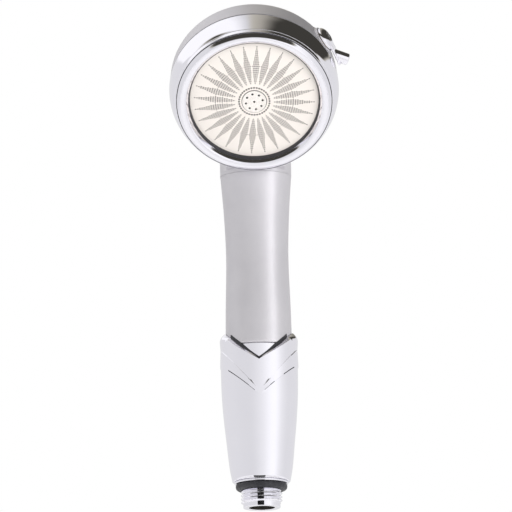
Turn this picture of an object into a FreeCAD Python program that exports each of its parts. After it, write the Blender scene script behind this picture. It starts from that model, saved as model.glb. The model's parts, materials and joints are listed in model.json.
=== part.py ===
import FreeCAD, Part
import math
import os

# Handheld shower head, in millimetres.
# The origin is the centre of the threaded inlet's end face. +Z runs up the handle to the head,
# and the spray face looks towards -Y and down.

V = FreeCAD.Vector

# ---- Fits ----
FIT = 0.1                # radial and axial play between pieces that are fixed to each other
RUNNING = 0.06           # radial play of a shaft that turns or slides in its hole
APART = 0.3              # play between pieces that move past each other
RING_PLAY = 0.08         # play round an O-ring in its groove
O_SECTION = 0.9          # radius of an O-ring's round section

# ---- Threaded inlet ----
THREAD_R = 10.48         # G 1/2 male thread, outside radius
THREAD_LENGTH = 6.4
LEAD_IN_R = 9.35         # plain end below the thread
LEAD_IN_LENGTH = 2.2
INLET_BORE_R = 6.5
RING_SEAT_R = 9.9        # groove that holds the rubber ring
RUBBER_RING_R = 13.0
RUBBER_RING_HEIGHT = 3.6
FLANGE_R = 13.6
FLANGE_HEIGHT = 1.0
PLUG_R = 12.0            # part of the nipple that screws into the sleeve
PLUG_LENGTH = 12.8
VALVE_POCKET_R = 9.0

# ---- Check valve ----
REGULATOR_HEIGHT = 1.4
SEAT_HEIGHT = 1.5
SEAT_HOLE_R = 4.5
CAGE_WALL = 1.4
CAGE_TOP_HEIGHT = 1.5
POPPET_R = 5.8
POPPET_HEIGHT = 1.0
POPPET_SEAL_HEIGHT = 0.9
POPPET_STEM_R = 1.5
VALVE_SPRING_R = 3.2
VALVE_WIRE_R = 0.3

# ---- Lower sleeve with its crown ----
SLEEVE_FOOT_R = 14.5
SLEEVE_R = 19.4          # widest, below the crown
SLEEVE_TAPER = 44.0      # height of the lower taper
SLEEVE_HEIGHT = 76.4     # foot to the tips of the crown
SHOULDER_HEIGHT = 4.4    # bevel at the crown's tips
CROWN_DROP = 16.3        # from the tips to the bottom of the V
TIP_DROP = 0.15          # how far the V runs below the rim's edge at the tips
CROWN_RIM_R = 17.3
CROWN_BORE_R = 17.0
LEDGE_HEIGHT = 48.8      # ledge inside the sleeve, above its foot
CHAMBER_R = 14.8
CHEVRON_RISE = 0.35
CHEVRON_HEIGHT = 8.5     # width of the raised wedge at the sides
CHEVRON_GAP = 16.0       # from the bottom of the V to the raised wedge

# ---- Filter cartridge ----
FILTER_WALL = 1.3
FILTER_CAP_HEIGHT = 3.0
FILTER_HEIGHT = 32.2
FILTER_CORE_R = 4.0
SCREEN_HEIGHT = 0.5

# ---- Coupling between sleeve and handle tube ----
COUPLING_NECK_R = 16.2
COUPLING_THREAD_HEIGHT = 8.4
COUPLING_NECK_HEIGHT = 11.5
COUPLING_SPIGOT = 12.0

# ---- Satin handle tube ----
TUBE_LENGTH = 87.5
TUBE_FOOT_R = 16.75
TUBE_WAIST_R = 15.7
TUBE_TOP_R = 17.9
TUBE_BORE_R = 13.6

# ---- Water pipe inside the handle ----
PIPE_R = 7.0
PIPE_WALL = 1.2
PIPE_TAIL = 5.0          # straight end past the bend

# ---- Neck that bends into the head's back ----
NECK_BEND_R = 40.0
NECK_SWEEP = 48.0
NECK_R = 18.2
NECK_END_R = 14.5
NECK_WALL = 2.0
NECK_SPIGOT = 11.0
SPIGOT_WALL = 2.5

# ---- Head ----
FACE_TILT = 40.0         # spray direction below the horizontal
HEAD_R = 42.7            # at the seam, the widest circle
HEAD_OFFSET = 8.0        # from the tube's front to the lowest point of the lip
HEAD_DROP = 1.8          # how far the lip reaches below the tube's top
HEAD_WALL = 2.0
BACK_BAND = 12.5         # straight side of the back shell
DOME_DEPTH = 24.0        # from the seam to the dome's highest point
CORNER_R = 6.0
FRONT_DEPTH = 12.0       # drum in front of the seam
FRONT_TAPER = 2.7        # how much the drum narrows to its front edge
FRONT_WALL = 1.8
FLOOR_Z = 2.0
FLOOR_THICK = 2.5
LIP_HEIGHT = 4.0         # rounded lip in front of the drum
LIP_WIDTH = 4.9
BEVEL_WIDTH = 1.2        # bevel between the drum's edge and the lip
SKIRT_WALL = 1.2
SKIRT_HEIGHT = 3.0
PLATE_THICK = 1.2
PLATE_CROWN = 2.4        # how far the spray plate bulges
GASKET_HEIGHT = 0.9
GASKET_WIDTH = 4.0
DISTRIBUTOR_HEIGHT = 4.3
NOZZLE_R = 6.1
NOZZLE_RISE = 0.4
NOZZLE_HOLE_R = 0.75
NOZZLE_HOLES = 8
NOZZLE_CIRCLE_R = 4.3
SEAM_SEAL_HEIGHT = 0.5

# ---- Diverter and its lever ----
DIAL_ANGLE = 33.0        # place of the lever's pivot round the head, up from +X
DIAL_DEPTH = 8.0         # behind the seam
BODY_R = 18.0
BODY_DEPTH = 18.0
SPOOL_R = 5.0
SPOOL_PORT_R = 2.2
STEM_BOSS_R = 7.0
HUB_R = SPOOL_R + 1.0
HUB_HEIGHT = 2.7
ARM_REACH = 12.3         # pivot to pin
ARM_END_R = 4.0
ARM_THICK = 1.2
PIN_R = 3.0
PIN_STUB_R = 1.5         # the part of the pin that is held in the arm
PIN_LENGTH = 5.0         # from the arm's outer side
PIN_LEAN = 56.0          # how far the pin leans from the pivot's axis
PORT_R = 2.5
SCREW_R = 1.5
SCREW_HEAD_R = 2.7
SCREW_HEAD_HEIGHT = 1.6
SCREW_CIRCLE_R = 14.5
SCREW_COUNT = 4
BALL_R = 1.5

# ---- Heights along the handle that follow from these ----
thread_top = LEAD_IN_LENGTH + THREAD_LENGTH
ring_top = thread_top + RUBBER_RING_HEIGHT
flange_top = ring_top + FLANGE_HEIGHT
plug_top = flange_top + PLUG_LENGTH
sleeve_top = flange_top + SLEEVE_HEIGHT
ledge_z = flange_top + LEDGE_HEIGHT
coupling_z = ledge_z + FIT
coupling_neck_z = coupling_z + COUPLING_THREAD_HEIGHT
tube_z = coupling_neck_z + COUPLING_NECK_HEIGHT
tube_top = tube_z + TUBE_LENGTH
neck_z = tube_top + 2 * FIT
bend_z = neck_z + 2.3

# ---- Radii and stations of the head, along its own axis (z towards the spray) ----
front_r = HEAD_R - FRONT_TAPER
front_bore_r = front_r - FRONT_WALL
skirt_r = front_bore_r - FIT
seat_r = skirt_r - SKIRT_WALL
lip_r = front_r - BEVEL_WIDTH
opening_r = lip_r - LIP_WIDTH
lip_z = FRONT_DEPTH + LIP_HEIGHT
floor_top = FLOOR_Z + FLOOR_THICK
distributor_top = floor_top + 2 * FIT + DISTRIBUTOR_HEIGHT
gasket_top = distributor_top + FIT + GASKET_HEIGHT
plate_z = gasket_top + FIT
plate_front = plate_z + PLATE_THICK
inner_r = HEAD_R - 1.0 - HEAD_WALL


# ---- Helpers ----
def ring(r_in, r_out, z0, z1):
    """Straight tube or disc about Z."""
    body = Part.makeCylinder(r_out, z1 - z0, V(0, 0, z0))
    if r_in > 0:
        body = body.cut(Part.makeCylinder(r_in, z1 - z0 + 2, V(0, 0, z0 - 1)))
    return body


def outline(start, steps):
    """Edges in the XZ plane: a pair is a line's end, a triple of pairs tells an arc or a curve."""
    edges = []
    here = V(start[0], 0, start[1])
    for step in steps:
        if step[0] == "arc":
            middle = V(step[1][0], 0, step[1][1])
            end = V(step[2][0], 0, step[2][1])
            edges.append(Part.Arc(here, middle, end).toShape())
        elif step[0] == "curve":
            points = [here] + [V(r, 0, z) for r, z in step[1]]
            end = points[-1]
            spline = Part.BSplineCurve()
            spline.interpolate(points)
            edges.append(spline.toShape())
        else:
            end = V(step[0], 0, step[1])
            edges.append(Part.LineSegment(here, end).toShape())
        here = end
    return edges


def turned(start, steps):
    """Solid turned about Z from a closed outline of (radius, height)."""
    face = Part.Face(Part.Wire(outline(start, steps)))
    return face.revolve(V(0, 0, 0), V(0, 0, 1), 360)


def o_ring(wall_r, z):
    """O-ring about Z that seals against a wall of radius wall_r."""
    return Part.makeTorus(wall_r - RING_PLAY - O_SECTION, O_SECTION, V(0, 0, z))


def o_groove(wall_r, z):
    """Space to cut from a shaft for the O-ring that seals against wall_r."""
    bottom_r = wall_r - 2 * O_SECTION - 2 * RING_PLAY
    half = O_SECTION + RING_PLAY
    return ring(bottom_r, wall_r + 1, z - half, z + half)


def across(start, steps, depth):
    """Prism cut along Y from an outline in the XZ plane."""
    face = Part.Face(Part.Wire(outline(start, steps)))
    face.translate(V(0, -depth, 0))
    return face.extrude(V(0, 2 * depth, 0))


def around(shape, count, axis=V(0, 0, 1)):
    """Copies of a shape spaced evenly round Z."""
    copies = []
    for index in range(count):
        turned_copy = shape.copy()
        turned_copy.rotate(V(0, 0, 0), axis, 360.0 * index / count)
        copies.append(turned_copy)
    return copies


def coil(radius, wire_r, z0, z1, turns):
    """Round-wire compression spring about Z, between two heights."""
    height = z1 - z0 - 2 * wire_r
    points = []
    for step in range(12 * turns + 1):
        angle = math.pi * step / 6
        rise = height * step / (12 * turns)
        points.append(V(radius * math.cos(angle), radius * math.sin(angle), z0 + wire_r + rise))
    helix = Part.BSplineCurve()
    helix.interpolate(points)
    slope = height / (2 * math.pi * radius * turns)
    section = Part.makeCircle(wire_r, points[0], V(0, 1, slope))
    return Part.Wire(helix.toShape()).makePipeShell([Part.Wire(section)], True, True)


def placed(shape, placement):
    """A copy of a shape moved by a placement."""
    copy = shape.copy()
    copy.Placement = placement.multiply(copy.Placement)
    return copy


def frame_of(x_axis, y_axis, z_axis, origin):
    """Placement whose axes and origin are the given vectors."""
    matrix = FreeCAD.Matrix(
        x_axis.x, y_axis.x, z_axis.x, origin.x,
        x_axis.y, y_axis.y, z_axis.y, origin.y,
        x_axis.z, y_axis.z, z_axis.z, origin.z,
        0, 0, 0, 1)
    return FreeCAD.Placement(matrix)


# ---- Where the head and its lever lie ----
tilt = math.radians(FACE_TILT)
spray = V(0, -math.cos(tilt), -math.sin(tilt))
face_up = V(0, -math.sin(tilt), math.cos(tilt))
lowest = V(0, -(TUBE_TOP_R + HEAD_OFFSET), tube_top - HEAD_DROP)
head_origin = lowest + face_up * lip_r - spray * (lip_z - 0.5)
HEAD = frame_of(V(1, 0, 0), face_up, spray, head_origin)

dial = math.radians(DIAL_ANGLE)
dial_out = V(math.cos(dial), math.sin(dial), 0)
dial_down = V(math.sin(dial), -math.cos(dial), 0)
DIAL = frame_of(dial_down, V(0, 0, -1), dial_out, V(0, 0, -DIAL_DEPTH))


def in_head(shape):
    return placed(shape, HEAD)


def along_dial(shape):
    """A shape drawn about the lever's axis, in the head's own frame."""
    return placed(shape, DIAL)


def in_dial(shape):
    return in_head(along_dial(shape))


# ---- Inlet ----
nipple_ring_z = plug_top - 3.0


def inlet_nipple():
    body = turned((LEAD_IN_R, 0), [
        (LEAD_IN_R, LEAD_IN_LENGTH), (THREAD_R, LEAD_IN_LENGTH), (THREAD_R, thread_top),
        (RING_SEAT_R, thread_top), (RING_SEAT_R, ring_top), (FLANGE_R, ring_top),
        (FLANGE_R, flange_top), (PLUG_R, flange_top), (PLUG_R, plug_top),
        (VALVE_POCKET_R, plug_top), (VALVE_POCKET_R, ring_top), (INLET_BORE_R, ring_top),
        (INLET_BORE_R, 0), (LEAD_IN_R, 0)])
    return body.cut(o_groove(PLUG_R + FIT, nipple_ring_z))


def nipple_o_ring():
    return o_ring(PLUG_R + FIT, nipple_ring_z)


def inlet_rubber_ring():
    low = thread_top + FIT
    high = ring_top - FIT
    middle = (low + high) / 2
    edge_r = RUBBER_RING_R - 0.9
    return turned((RING_SEAT_R + FIT, low), [
        (edge_r, low), ("arc", (RUBBER_RING_R, middle), (edge_r, high)),
        (RING_SEAT_R + FIT, high), (RING_SEAT_R + FIT, low)])


# ---- Check valve ----
regulator_z = ring_top + FIT
cage_z = regulator_z + REGULATOR_HEIGHT + FIT
seat_top = cage_z + SEAT_HEIGHT
cage_top = plug_top - 2 * FIT
spring_top = cage_top - CAGE_TOP_HEIGHT
poppet_z = seat_top + 2 * FIT + POPPET_SEAL_HEIGHT
cage_r = VALVE_POCKET_R - FIT


def flow_regulator():
    disc = ring(0, VALVE_POCKET_R - FIT, regulator_z, regulator_z + REGULATOR_HEIGHT)
    hole = Part.makeCylinder(1.3, 6, V(VALVE_POCKET_R / 2, 0, regulator_z - 1))
    for cut in around(hole, 6):
        disc = disc.cut(cut)
    return disc


def check_valve_cage():
    body = ring(cage_r - CAGE_WALL, cage_r, cage_z, cage_top)
    body = body.fuse(ring(SEAT_HOLE_R, cage_r, cage_z, seat_top))
    body = body.fuse(ring(POPPET_STEM_R + RUNNING, cage_r, spring_top, cage_top))
    hole = Part.makeCylinder(1.6, 6, V(5.2, 0, spring_top - 1))
    for cut in around(hole, 6):
        body = body.cut(cut)
    return body.removeSplitter()


def check_valve_poppet():
    head = ring(0, POPPET_R, poppet_z, poppet_z + POPPET_HEIGHT)
    hub = ring(0, 2.6, poppet_z - POPPET_SEAL_HEIGHT, poppet_z + 0.5)
    stem = ring(0, POPPET_STEM_R, poppet_z + 0.5, cage_top + 1.0)
    return head.fuse([hub, stem]).removeSplitter()


def poppet_seal():
    low = poppet_z - POPPET_SEAL_HEIGHT
    return ring(2.6 + FIT, POPPET_R - FIT, low, poppet_z - 0.5 * FIT)


def check_valve_spring():
    low = poppet_z + POPPET_HEIGHT + FIT
    return coil(VALVE_SPRING_R, VALVE_WIRE_R, low, spring_top - FIT, 5)


# ---- Sleeve ----
def sleeve_side():
    """Outer line of the sleeve, from its foot up to the bevel of the crown."""
    rise = SLEEVE_R - SLEEVE_FOOT_R
    straight = sleeve_top - SHOULDER_HEIGHT
    return [
        (SLEEVE_FOOT_R + 0.29 * rise, flange_top + 0.17 * SLEEVE_TAPER),
        (SLEEVE_FOOT_R + 0.54 * rise, flange_top + 0.45 * SLEEVE_TAPER),
        (SLEEVE_FOOT_R + 0.80 * rise, flange_top + 0.73 * SLEEVE_TAPER),
        (SLEEVE_R - 0.35, flange_top + SLEEVE_TAPER),
        (SLEEVE_R, flange_top + 1.3 * SLEEVE_TAPER),
        (SLEEVE_R + 0.1, straight)]


def lower_sleeve():
    body = turned((SLEEVE_FOOT_R, flange_top + FIT), [
        ("curve", sleeve_side()), (CROWN_RIM_R, sleeve_top), (CROWN_BORE_R, sleeve_top),
        (CROWN_BORE_R, ledge_z), (CHAMBER_R, ledge_z), (CHAMBER_R, plug_top + 1.5),
        (PLUG_R + FIT, plug_top + 1.5), (PLUG_R + FIT, flange_top + FIT),
        (SLEEVE_FOOT_R, flange_top + FIT)])
    valley = sleeve_top - CROWN_DROP
    side = SLEEVE_R + 3
    # The rim falls in a shallow curve from the tip at each side to the valley in front and behind.
    half_r = CROWN_RIM_R / 2
    half_z = valley + 0.42 * CROWN_DROP
    slope = CROWN_DROP * 0.58 / half_r
    tip_z = sleeve_top - TIP_DROP
    end_z = tip_z + slope * (side - CROWN_RIM_R)
    above = sleeve_top + 30
    notch = across((0, valley), [
        ("arc", (half_r, half_z), (CROWN_RIM_R, tip_z)), (side, end_z), (side, above),
        (-side, above), (-side, end_z), (-CROWN_RIM_R, tip_z),
        ("arc", (-half_r, half_z), (0, valley))], side)
    low = valley - CHEVRON_GAP - 2.5
    reach = SLEEVE_R + 2
    wedge = across((0, low), [
        (reach, low + 18.5), (reach, low + 18.5 + CHEVRON_HEIGHT), (reach / 2, low + 14.5),
        (0, low + 2.5), (-reach / 2, low + 14.5), (-reach, low + 18.5 + CHEVRON_HEIGHT),
        (-reach, low + 18.5), (0, low)], side)
    raised = ring(CROWN_BORE_R + 1.0, SLEEVE_R + CHEVRON_RISE, low - 1, low + 30).common(wedge)
    return body.fuse(raised).cut(notch).removeSplitter()


# ---- Filter cartridge ----
filter_z = plug_top + 1.5 + FIT
filter_r = CHAMBER_R - 3 * FIT
filter_top = filter_z + FILTER_HEIGHT


def filter_cap(z0):
    cap = ring(0, filter_r, z0, z0 + FILTER_CAP_HEIGHT - FIT)
    hole = Part.makeCylinder(1.8, 12, V(filter_r * 0.6, 0, z0 - 4))
    for cut in around(hole, 8):
        cap = cap.cut(cut)
    return cap.cut(ring(0, POPPET_STEM_R + 0.7, z0 - 1, z0 + FILTER_CAP_HEIGHT + 1))


def filter_tube():
    low = filter_z + FILTER_CAP_HEIGHT
    return ring(filter_r - FILTER_WALL, filter_r, low, filter_top - FILTER_CAP_HEIGHT)


def filter_media():
    low = filter_z + FILTER_CAP_HEIGHT + FIT
    high = filter_top - FILTER_CAP_HEIGHT - FIT
    return ring(FILTER_CORE_R, filter_r - FILTER_WALL - FIT, low, high)


def filter_screen():
    disc = ring(0, filter_r - 2.5, filter_top + FIT, filter_top + FIT + SCREEN_HEIGHT)
    hole = Part.makeCylinder(0.9, 4, V(filter_r * 0.6, 0, filter_top - 1))
    for cut in around(hole, 16):
        disc = disc.cut(cut)
    return disc


def filter_gasket():
    return ring(filter_r - 2.3, filter_r, filter_top + FIT, ledge_z - FIT)


# ---- Coupling ----
coupling_ring_z = coupling_z + 0.5 * COUPLING_THREAD_HEIGHT
tube_foot_ring_z = tube_z + 0.6 * COUPLING_SPIGOT


def inner_coupling():
    thread_r = CROWN_BORE_R - FIT
    spigot_r = TUBE_BORE_R - FIT
    spigot_top = tube_z + COUPLING_SPIGOT
    socket_z = tube_z + 2.0
    bore_r = PIPE_R - PIPE_WALL
    body = turned((thread_r, coupling_z), [
        (thread_r, coupling_neck_z), (COUPLING_NECK_R, coupling_neck_z),
        (COUPLING_NECK_R, tube_z - FIT), (spigot_r, tube_z - FIT), (spigot_r, spigot_top),
        (PIPE_R + FIT, spigot_top), (PIPE_R + FIT, socket_z), (bore_r, socket_z),
        (bore_r, coupling_z + 6), (12.0, coupling_z), (thread_r, coupling_z)])
    body = body.cut(o_groove(CROWN_BORE_R, coupling_ring_z))
    return body.cut(o_groove(TUBE_BORE_R, tube_foot_ring_z))


def coupling_o_ring():
    return o_ring(CROWN_BORE_R, coupling_ring_z)


def tube_foot_o_ring():
    return o_ring(TUBE_BORE_R, tube_foot_ring_z)


# ---- Handle tube and water pipe ----
def handle_tube():
    foot = TUBE_FOOT_R - TUBE_WAIST_R
    top = TUBE_TOP_R - TUBE_WAIST_R
    side = [
        (TUBE_WAIST_R + 0.72 * foot, tube_z + 0.21 * TUBE_LENGTH),
        (TUBE_WAIST_R, tube_z + 0.52 * TUBE_LENGTH),
        (TUBE_WAIST_R + 0.32 * top, tube_z + 0.77 * TUBE_LENGTH),
        (TUBE_TOP_R, tube_top)]
    return turned((TUBE_FOOT_R, tube_z), [
        ("curve", side), (TUBE_BORE_R, tube_top), (TUBE_BORE_R, tube_z), (TUBE_FOOT_R, tube_z)])


def bend(radius, sweep):
    """A solid rod of one radius bent forwards from the top of the handle."""
    face = Part.Face(Part.Wire(Part.makeCircle(radius, V(0, 0, bend_z), V(0, 0, 1))))
    return face.revolve(V(0, -NECK_BEND_R, bend_z), V(1, 0, 0), sweep)


sweep_angle = math.radians(NECK_SWEEP)
bend_end = V(0, -NECK_BEND_R * (1 - math.cos(sweep_angle)), bend_z + NECK_BEND_R * math.sin(sweep_angle))
bend_way = V(0, -math.sin(sweep_angle), math.cos(sweep_angle))


def rod_past_bend(radius, start, length):
    """Straight rod that goes on from the end of the bend."""
    return Part.makeCylinder(radius, length, bend_end + bend_way * start, bend_way)


def water_pipe():
    low = tube_z + 2.0 + FIT
    outer = Part.makeCylinder(PIPE_R, bend_z - low, V(0, 0, low))
    outer = outer.fuse([bend(PIPE_R, NECK_SWEEP), rod_past_bend(PIPE_R, 0, PIPE_TAIL)])
    bore_r = PIPE_R - PIPE_WALL
    inner = Part.makeCylinder(bore_r, bend_z - low + 1, V(0, 0, low - 1))
    inner = inner.fuse([bend(bore_r, NECK_SWEEP), rod_past_bend(bore_r, 0, PIPE_TAIL + 1)])
    return outer.cut(inner).removeSplitter()


# ---- Head shells ----
def dome(r, band, depth, corner):
    """Solid of the back of the head: a straight band, a rounded corner and a shallow dome."""
    shoulder_r = r - corner
    shoulder_z = -(band + 0.75 * corner)
    corner_mid = (r - 0.27 * corner, -(band + 0.5 * corner))
    rise = depth + shoulder_z
    return turned((0, 0), [
        (r + 1.0, 0), (r, -band), ("arc", corner_mid, (shoulder_r, shoulder_z)),
        ("arc", (shoulder_r / 2, shoulder_z - 0.77 * rise), (0, -depth)), (0, 0)])


def neck(radius, end_radius, spill):
    """Handle's neck as a solid: it bends forwards and fades into the dome."""
    run = 0.7 * HEAD_R
    cone = Part.makeCone(radius, end_radius, run, bend_end, bend_way)
    ball = Part.makeSphere(end_radius, bend_end + bend_way * run)
    stub = Part.makeCylinder(radius, bend_z - neck_z + spill, V(0, 0, neck_z - spill))
    return stub.fuse([bend(radius, NECK_SWEEP), cone, ball])


def drum_space(play):
    """Space that the drum and the face ring take up, with play round it."""
    side_r = HEAD_R + play
    nose_r = lip_r - 1 + play
    return in_head(turned((0, -FIT), [
        (side_r, -FIT), (side_r, 0.4 * FRONT_DEPTH), (front_r + play, FRONT_DEPTH + play),
        (nose_r, lip_z + play), (nose_r, lip_z + 9), (0, lip_z + 9), (0, -FIT)]))


neck_ring_z = neck_z - 0.55 * NECK_SPIGOT
boss_top = HEAD_R - 0.1


def head_back_shell():
    outer = in_head(dome(HEAD_R - 1.0, BACK_BAND, DOME_DEPTH, CORNER_R))
    boss = in_dial(ring(0, HUB_R + 0.8, HEAD_R - 5, boss_top))
    outer = outer.fuse([neck(NECK_R, NECK_END_R, 0), boss])
    hollow = in_head(dome(inner_r, BACK_BAND - 0.5, DOME_DEPTH - HEAD_WALL, CORNER_R - 1))
    passage = neck(NECK_R - NECK_WALL, NECK_END_R - NECK_WALL, -1.5)
    hollow = hollow.fuse(passage.cut(drum_space(APART + NECK_WALL)))
    spigot_r = TUBE_BORE_R - FIT
    spigot = ring(spigot_r - SPIGOT_WALL, spigot_r, neck_z - NECK_SPIGOT, neck_z + 2.5)
    spigot = spigot.cut(o_groove(TUBE_BORE_R, neck_ring_z))
    way_through = ring(0, spigot_r - SPIGOT_WALL, neck_z - NECK_SPIGOT - 1, neck_z + 3)
    spool_hole = in_dial(ring(0, SPOOL_R + APART, HEAD_R - 8, HEAD_R + 5))
    shell = outer.cut(hollow).cut(drum_space(APART)).fuse(spigot)
    return shell.cut(way_through).cut(spool_hole).removeSplitter()


def neck_o_ring():
    return o_ring(TUBE_BORE_R, neck_ring_z)


def seam_seal():
    body = ring(inner_r + FIT, HEAD_R - 0.5, -FIT / 2, SEAM_SEAL_HEIGHT)
    return in_head(body)


def drum_holes(body, z0, z1):
    """Water ports through a disc: three rings for the three sprays."""
    for count, r, size in ((6, 7.5, 1.6), (12, 0.45 * opening_r + 8, 1.5), (18, 0.8 * opening_r, 1.4)):
        hole = Part.makeCylinder(size, z1 - z0 + 2, V(r, 0, z0 - 1))
        body = body.cut(around(hole, count))
    return body


def front_housing():
    low = SEAM_SEAL_HEIGHT + FIT
    body = turned((HEAD_R, low), [
        ("curve", [(HEAD_R - 0.45, low + 0.4 * FRONT_DEPTH),
                   (HEAD_R - 0.65 * FRONT_TAPER, 0.83 * FRONT_DEPTH), (front_r, FRONT_DEPTH)]),
        (front_bore_r, FRONT_DEPTH), (front_bore_r, floor_top), (0, floor_top), (0, FLOOR_Z),
        (front_bore_r, FLOOR_Z), (front_bore_r, low), (HEAD_R, low)])
    body = drum_holes(body, FLOOR_Z, floor_top)
    hole = Part.makeCylinder(SCREW_R + FIT, 8, V(SCREW_CIRCLE_R, 0, FLOOR_Z - 2))
    return in_head(body.cut(around(hole, SCREW_COUNT)))


def water_distributor():
    low = floor_top + FIT
    body = ring(0, front_bore_r - FIT, low, low + DISTRIBUTOR_HEIGHT)
    pocket = ring(0, SCREW_CIRCLE_R + SCREW_HEAD_R + 1.5, low - 1, low + 2.4)
    body = body.cut(pocket)
    channel = ring(0.62 * opening_r, 0.95 * opening_r, low - 1, low + 1.6)
    body = body.cut(channel)
    return in_head(drum_holes(body, low, low + DISTRIBUTOR_HEIGHT))


def plate_gasket():
    return in_head(ring(seat_r - GASKET_WIDTH, seat_r - FIT, distributor_top, gasket_top))


def spray_plate():
    hem_r = opening_r - 0.3
    crown = plate_front + PLATE_CROWN
    body = turned((0, crown - PLATE_THICK), [
        ("arc", (hem_r / 2, plate_z + 0.75 * PLATE_CROWN), (hem_r, plate_z)),
        (seat_r - FIT, plate_z), (seat_r - FIT, plate_front), (hem_r, plate_front),
        ("arc", (hem_r / 2, plate_front + 0.75 * PLATE_CROWN), (0, crown)),
        (0, crown - PLATE_THICK)])
    return in_head(body.cut(ring(0, NOZZLE_R - 1.2, 0, lip_z + 5)))


def centre_nozzle():
    crown = plate_front + PLATE_CROWN
    top = crown + NOZZLE_RISE
    body = ring(0, NOZZLE_R, crown - 0.02, top)
    body = body.fuse(ring(0, NOZZLE_R - 1.2 - FIT, crown - PLATE_THICK - 0.6, crown))
    hole = Part.makeCylinder(NOZZLE_HOLE_R, 12, V(NOZZLE_CIRCLE_R, 0, crown - 8))
    body = body.cut(around(hole, NOZZLE_HOLES))
    return in_head(body.cut(ring(0, NOZZLE_HOLE_R, crown - 8, top + 2)))


def face_ring():
    low = FRONT_DEPTH + FIT
    bevel_z = low + 2.4
    lip_mid = (opening_r + 0.5 * LIP_WIDTH, lip_z)
    body = turned((opening_r, plate_front + FIT), [
        (opening_r, lip_z - 1.8), ("arc", lip_mid, (lip_r, bevel_z)), (front_r - 0.1, low),
        (skirt_r, low), (skirt_r, low - SKIRT_HEIGHT), (seat_r, low - SKIRT_HEIGHT),
        (seat_r, plate_front + FIT), (opening_r, plate_front + FIT)])
    return in_head(body)


def diverter_screws():
    head = ring(0, SCREW_HEAD_R, floor_top + FIT / 2, floor_top + SCREW_HEAD_HEIGHT)
    shank = ring(0, SCREW_R, FLOOR_Z - 8, floor_top + 0.5)
    screw = head.fuse(shank).cut(Part.makeBox(0.8, 4, 0.8, V(-0.4, -2, floor_top + 0.9)))
    screw.translate(V(SCREW_CIRCLE_R, 0, 0))
    return in_head(Part.makeCompound(around(screw, SCREW_COUNT)))


# ---- Diverter and lever ----
stem_end = inner_r - 3.2
hub_low = boss_top + APART
hub_top = hub_low + HUB_HEIGHT
arm_low_r = HEAD_R + 1.0
spool_out = hub_low + 0.3
spool_ring_places = (stem_end - 4, stem_end - 9)


def diverter_body():
    body = ring(0, BODY_R, -BODY_DEPTH, FLOOR_Z - FIT)
    boss = along_dial(ring(0, STEM_BOSS_R, 0, stem_end))
    body = body.fuse(boss)
    body = in_head(body)
    tail = bend_end + bend_way * (PIPE_TAIL + FIT)
    reach = (head_origin - tail).dot(face_up)
    socket = rod_past_bend(PIPE_R + 2.2, FIT, reach)
    body = body.fuse(socket)
    body = body.cut(rod_past_bend(PIPE_R + FIT, -1, PIPE_TAIL + FIT + 1))
    body = body.cut(rod_past_bend(PIPE_R - PIPE_WALL, 0, reach - 2))
    body = body.cut(in_dial(ring(0, SPOOL_R + RUNNING, -7, stem_end + 3)))
    port = Part.makeCylinder(PORT_R, DIAL_DEPTH + 4, V(0, 0, -DIAL_DEPTH))
    body = body.cut(in_head(port))
    hole = Part.makeCylinder(SCREW_R + FIT, 12, V(SCREW_CIRCLE_R, 0, FLOOR_Z - 8.3))
    body = body.cut(in_head(Part.makeCompound(around(hole, SCREW_COUNT))))
    pocket = Part.makeCylinder(BALL_R + FIT, 12, V(0, 0, 0), V(0, 1, 0))
    pocket.translate(V(0, SPOOL_R - 0.5, 12))
    return body.cut(in_dial(pocket)).removeSplitter()


def selector_spool():
    body = ring(0, SPOOL_R, -6.5, spool_out)
    for place in spool_ring_places:
        body = body.cut(o_groove(SPOOL_R + RUNNING, place))
    body = body.cut(Part.makeCylinder(SPOOL_PORT_R, 14, V(0, -7, 0), V(0, 1, 0)))
    body = body.cut(ring(0, SCREW_R - 0.3, spool_out - 8.3, spool_out + 1))
    return in_dial(body)


def spool_o_rings():
    rings = [o_ring(SPOOL_R + RUNNING, place) for place in spool_ring_places]
    return in_dial(Part.makeCompound(rings))


def detent_ball():
    return in_dial(Part.makeSphere(BALL_R, V(0, SPOOL_R + RUNNING + BALL_R + 0.1, 12)))


def detent_spring():
    spring = coil(BALL_R - 0.35, 0.25, 0, 3.2, 4)
    spring.rotate(V(0, 0, 0), V(1, 0, 0), -90)
    spring.translate(V(0, SPOOL_R + RUNNING + 2 * BALL_R + 0.2, 12))
    return in_dial(spring)


def selector_lever():
    hub = turned((0, hub_low), [
        (HUB_R, hub_low), (HUB_R, hub_low + 0.3),
        ("arc", (HUB_R - 1.05, hub_low + 0.63 * HUB_HEIGHT), (0.5 * HUB_R, hub_top)),
        (0, hub_top), (0, hub_low)])
    long = Part.makeBox(ARM_REACH, 2 * ARM_END_R, 40, V(0, -ARM_END_R, 20))
    end = Part.makeCylinder(ARM_END_R, 40, V(ARM_REACH, 0, 20))
    shell = placed(ring(arm_low_r, arm_low_r + ARM_THICK, -30, 30), DIAL.inverse())
    arm = long.fuse(end).common(shell)
    body = hub.fuse(arm)
    body = body.cut(ring(0, SPOOL_R + FIT, hub_low - 1, spool_out + FIT))
    body = body.cut(ring(0, SCREW_R + FIT, hub_low - 1, hub_low + 5))
    body = body.cut(ring(0, SCREW_HEAD_R, hub_top - 1.0, hub_low + 5))
    return in_dial(body.cut(pin_solid(PIN_STUB_R + FIT, -4, 8)).removeSplitter())


def pin_solid(radius, start, length):
    """Rod along the lever pin's axis, in the lever's frame."""
    lean = math.radians(PIN_LEAN)
    way = V(math.sin(lean), 0, math.cos(lean))
    foot_z = math.sqrt((arm_low_r + ARM_THICK) ** 2 - ARM_REACH ** 2)
    foot = V(ARM_REACH, 0, foot_z)
    return Part.makeCylinder(radius, length, foot + way * start, way)


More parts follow.
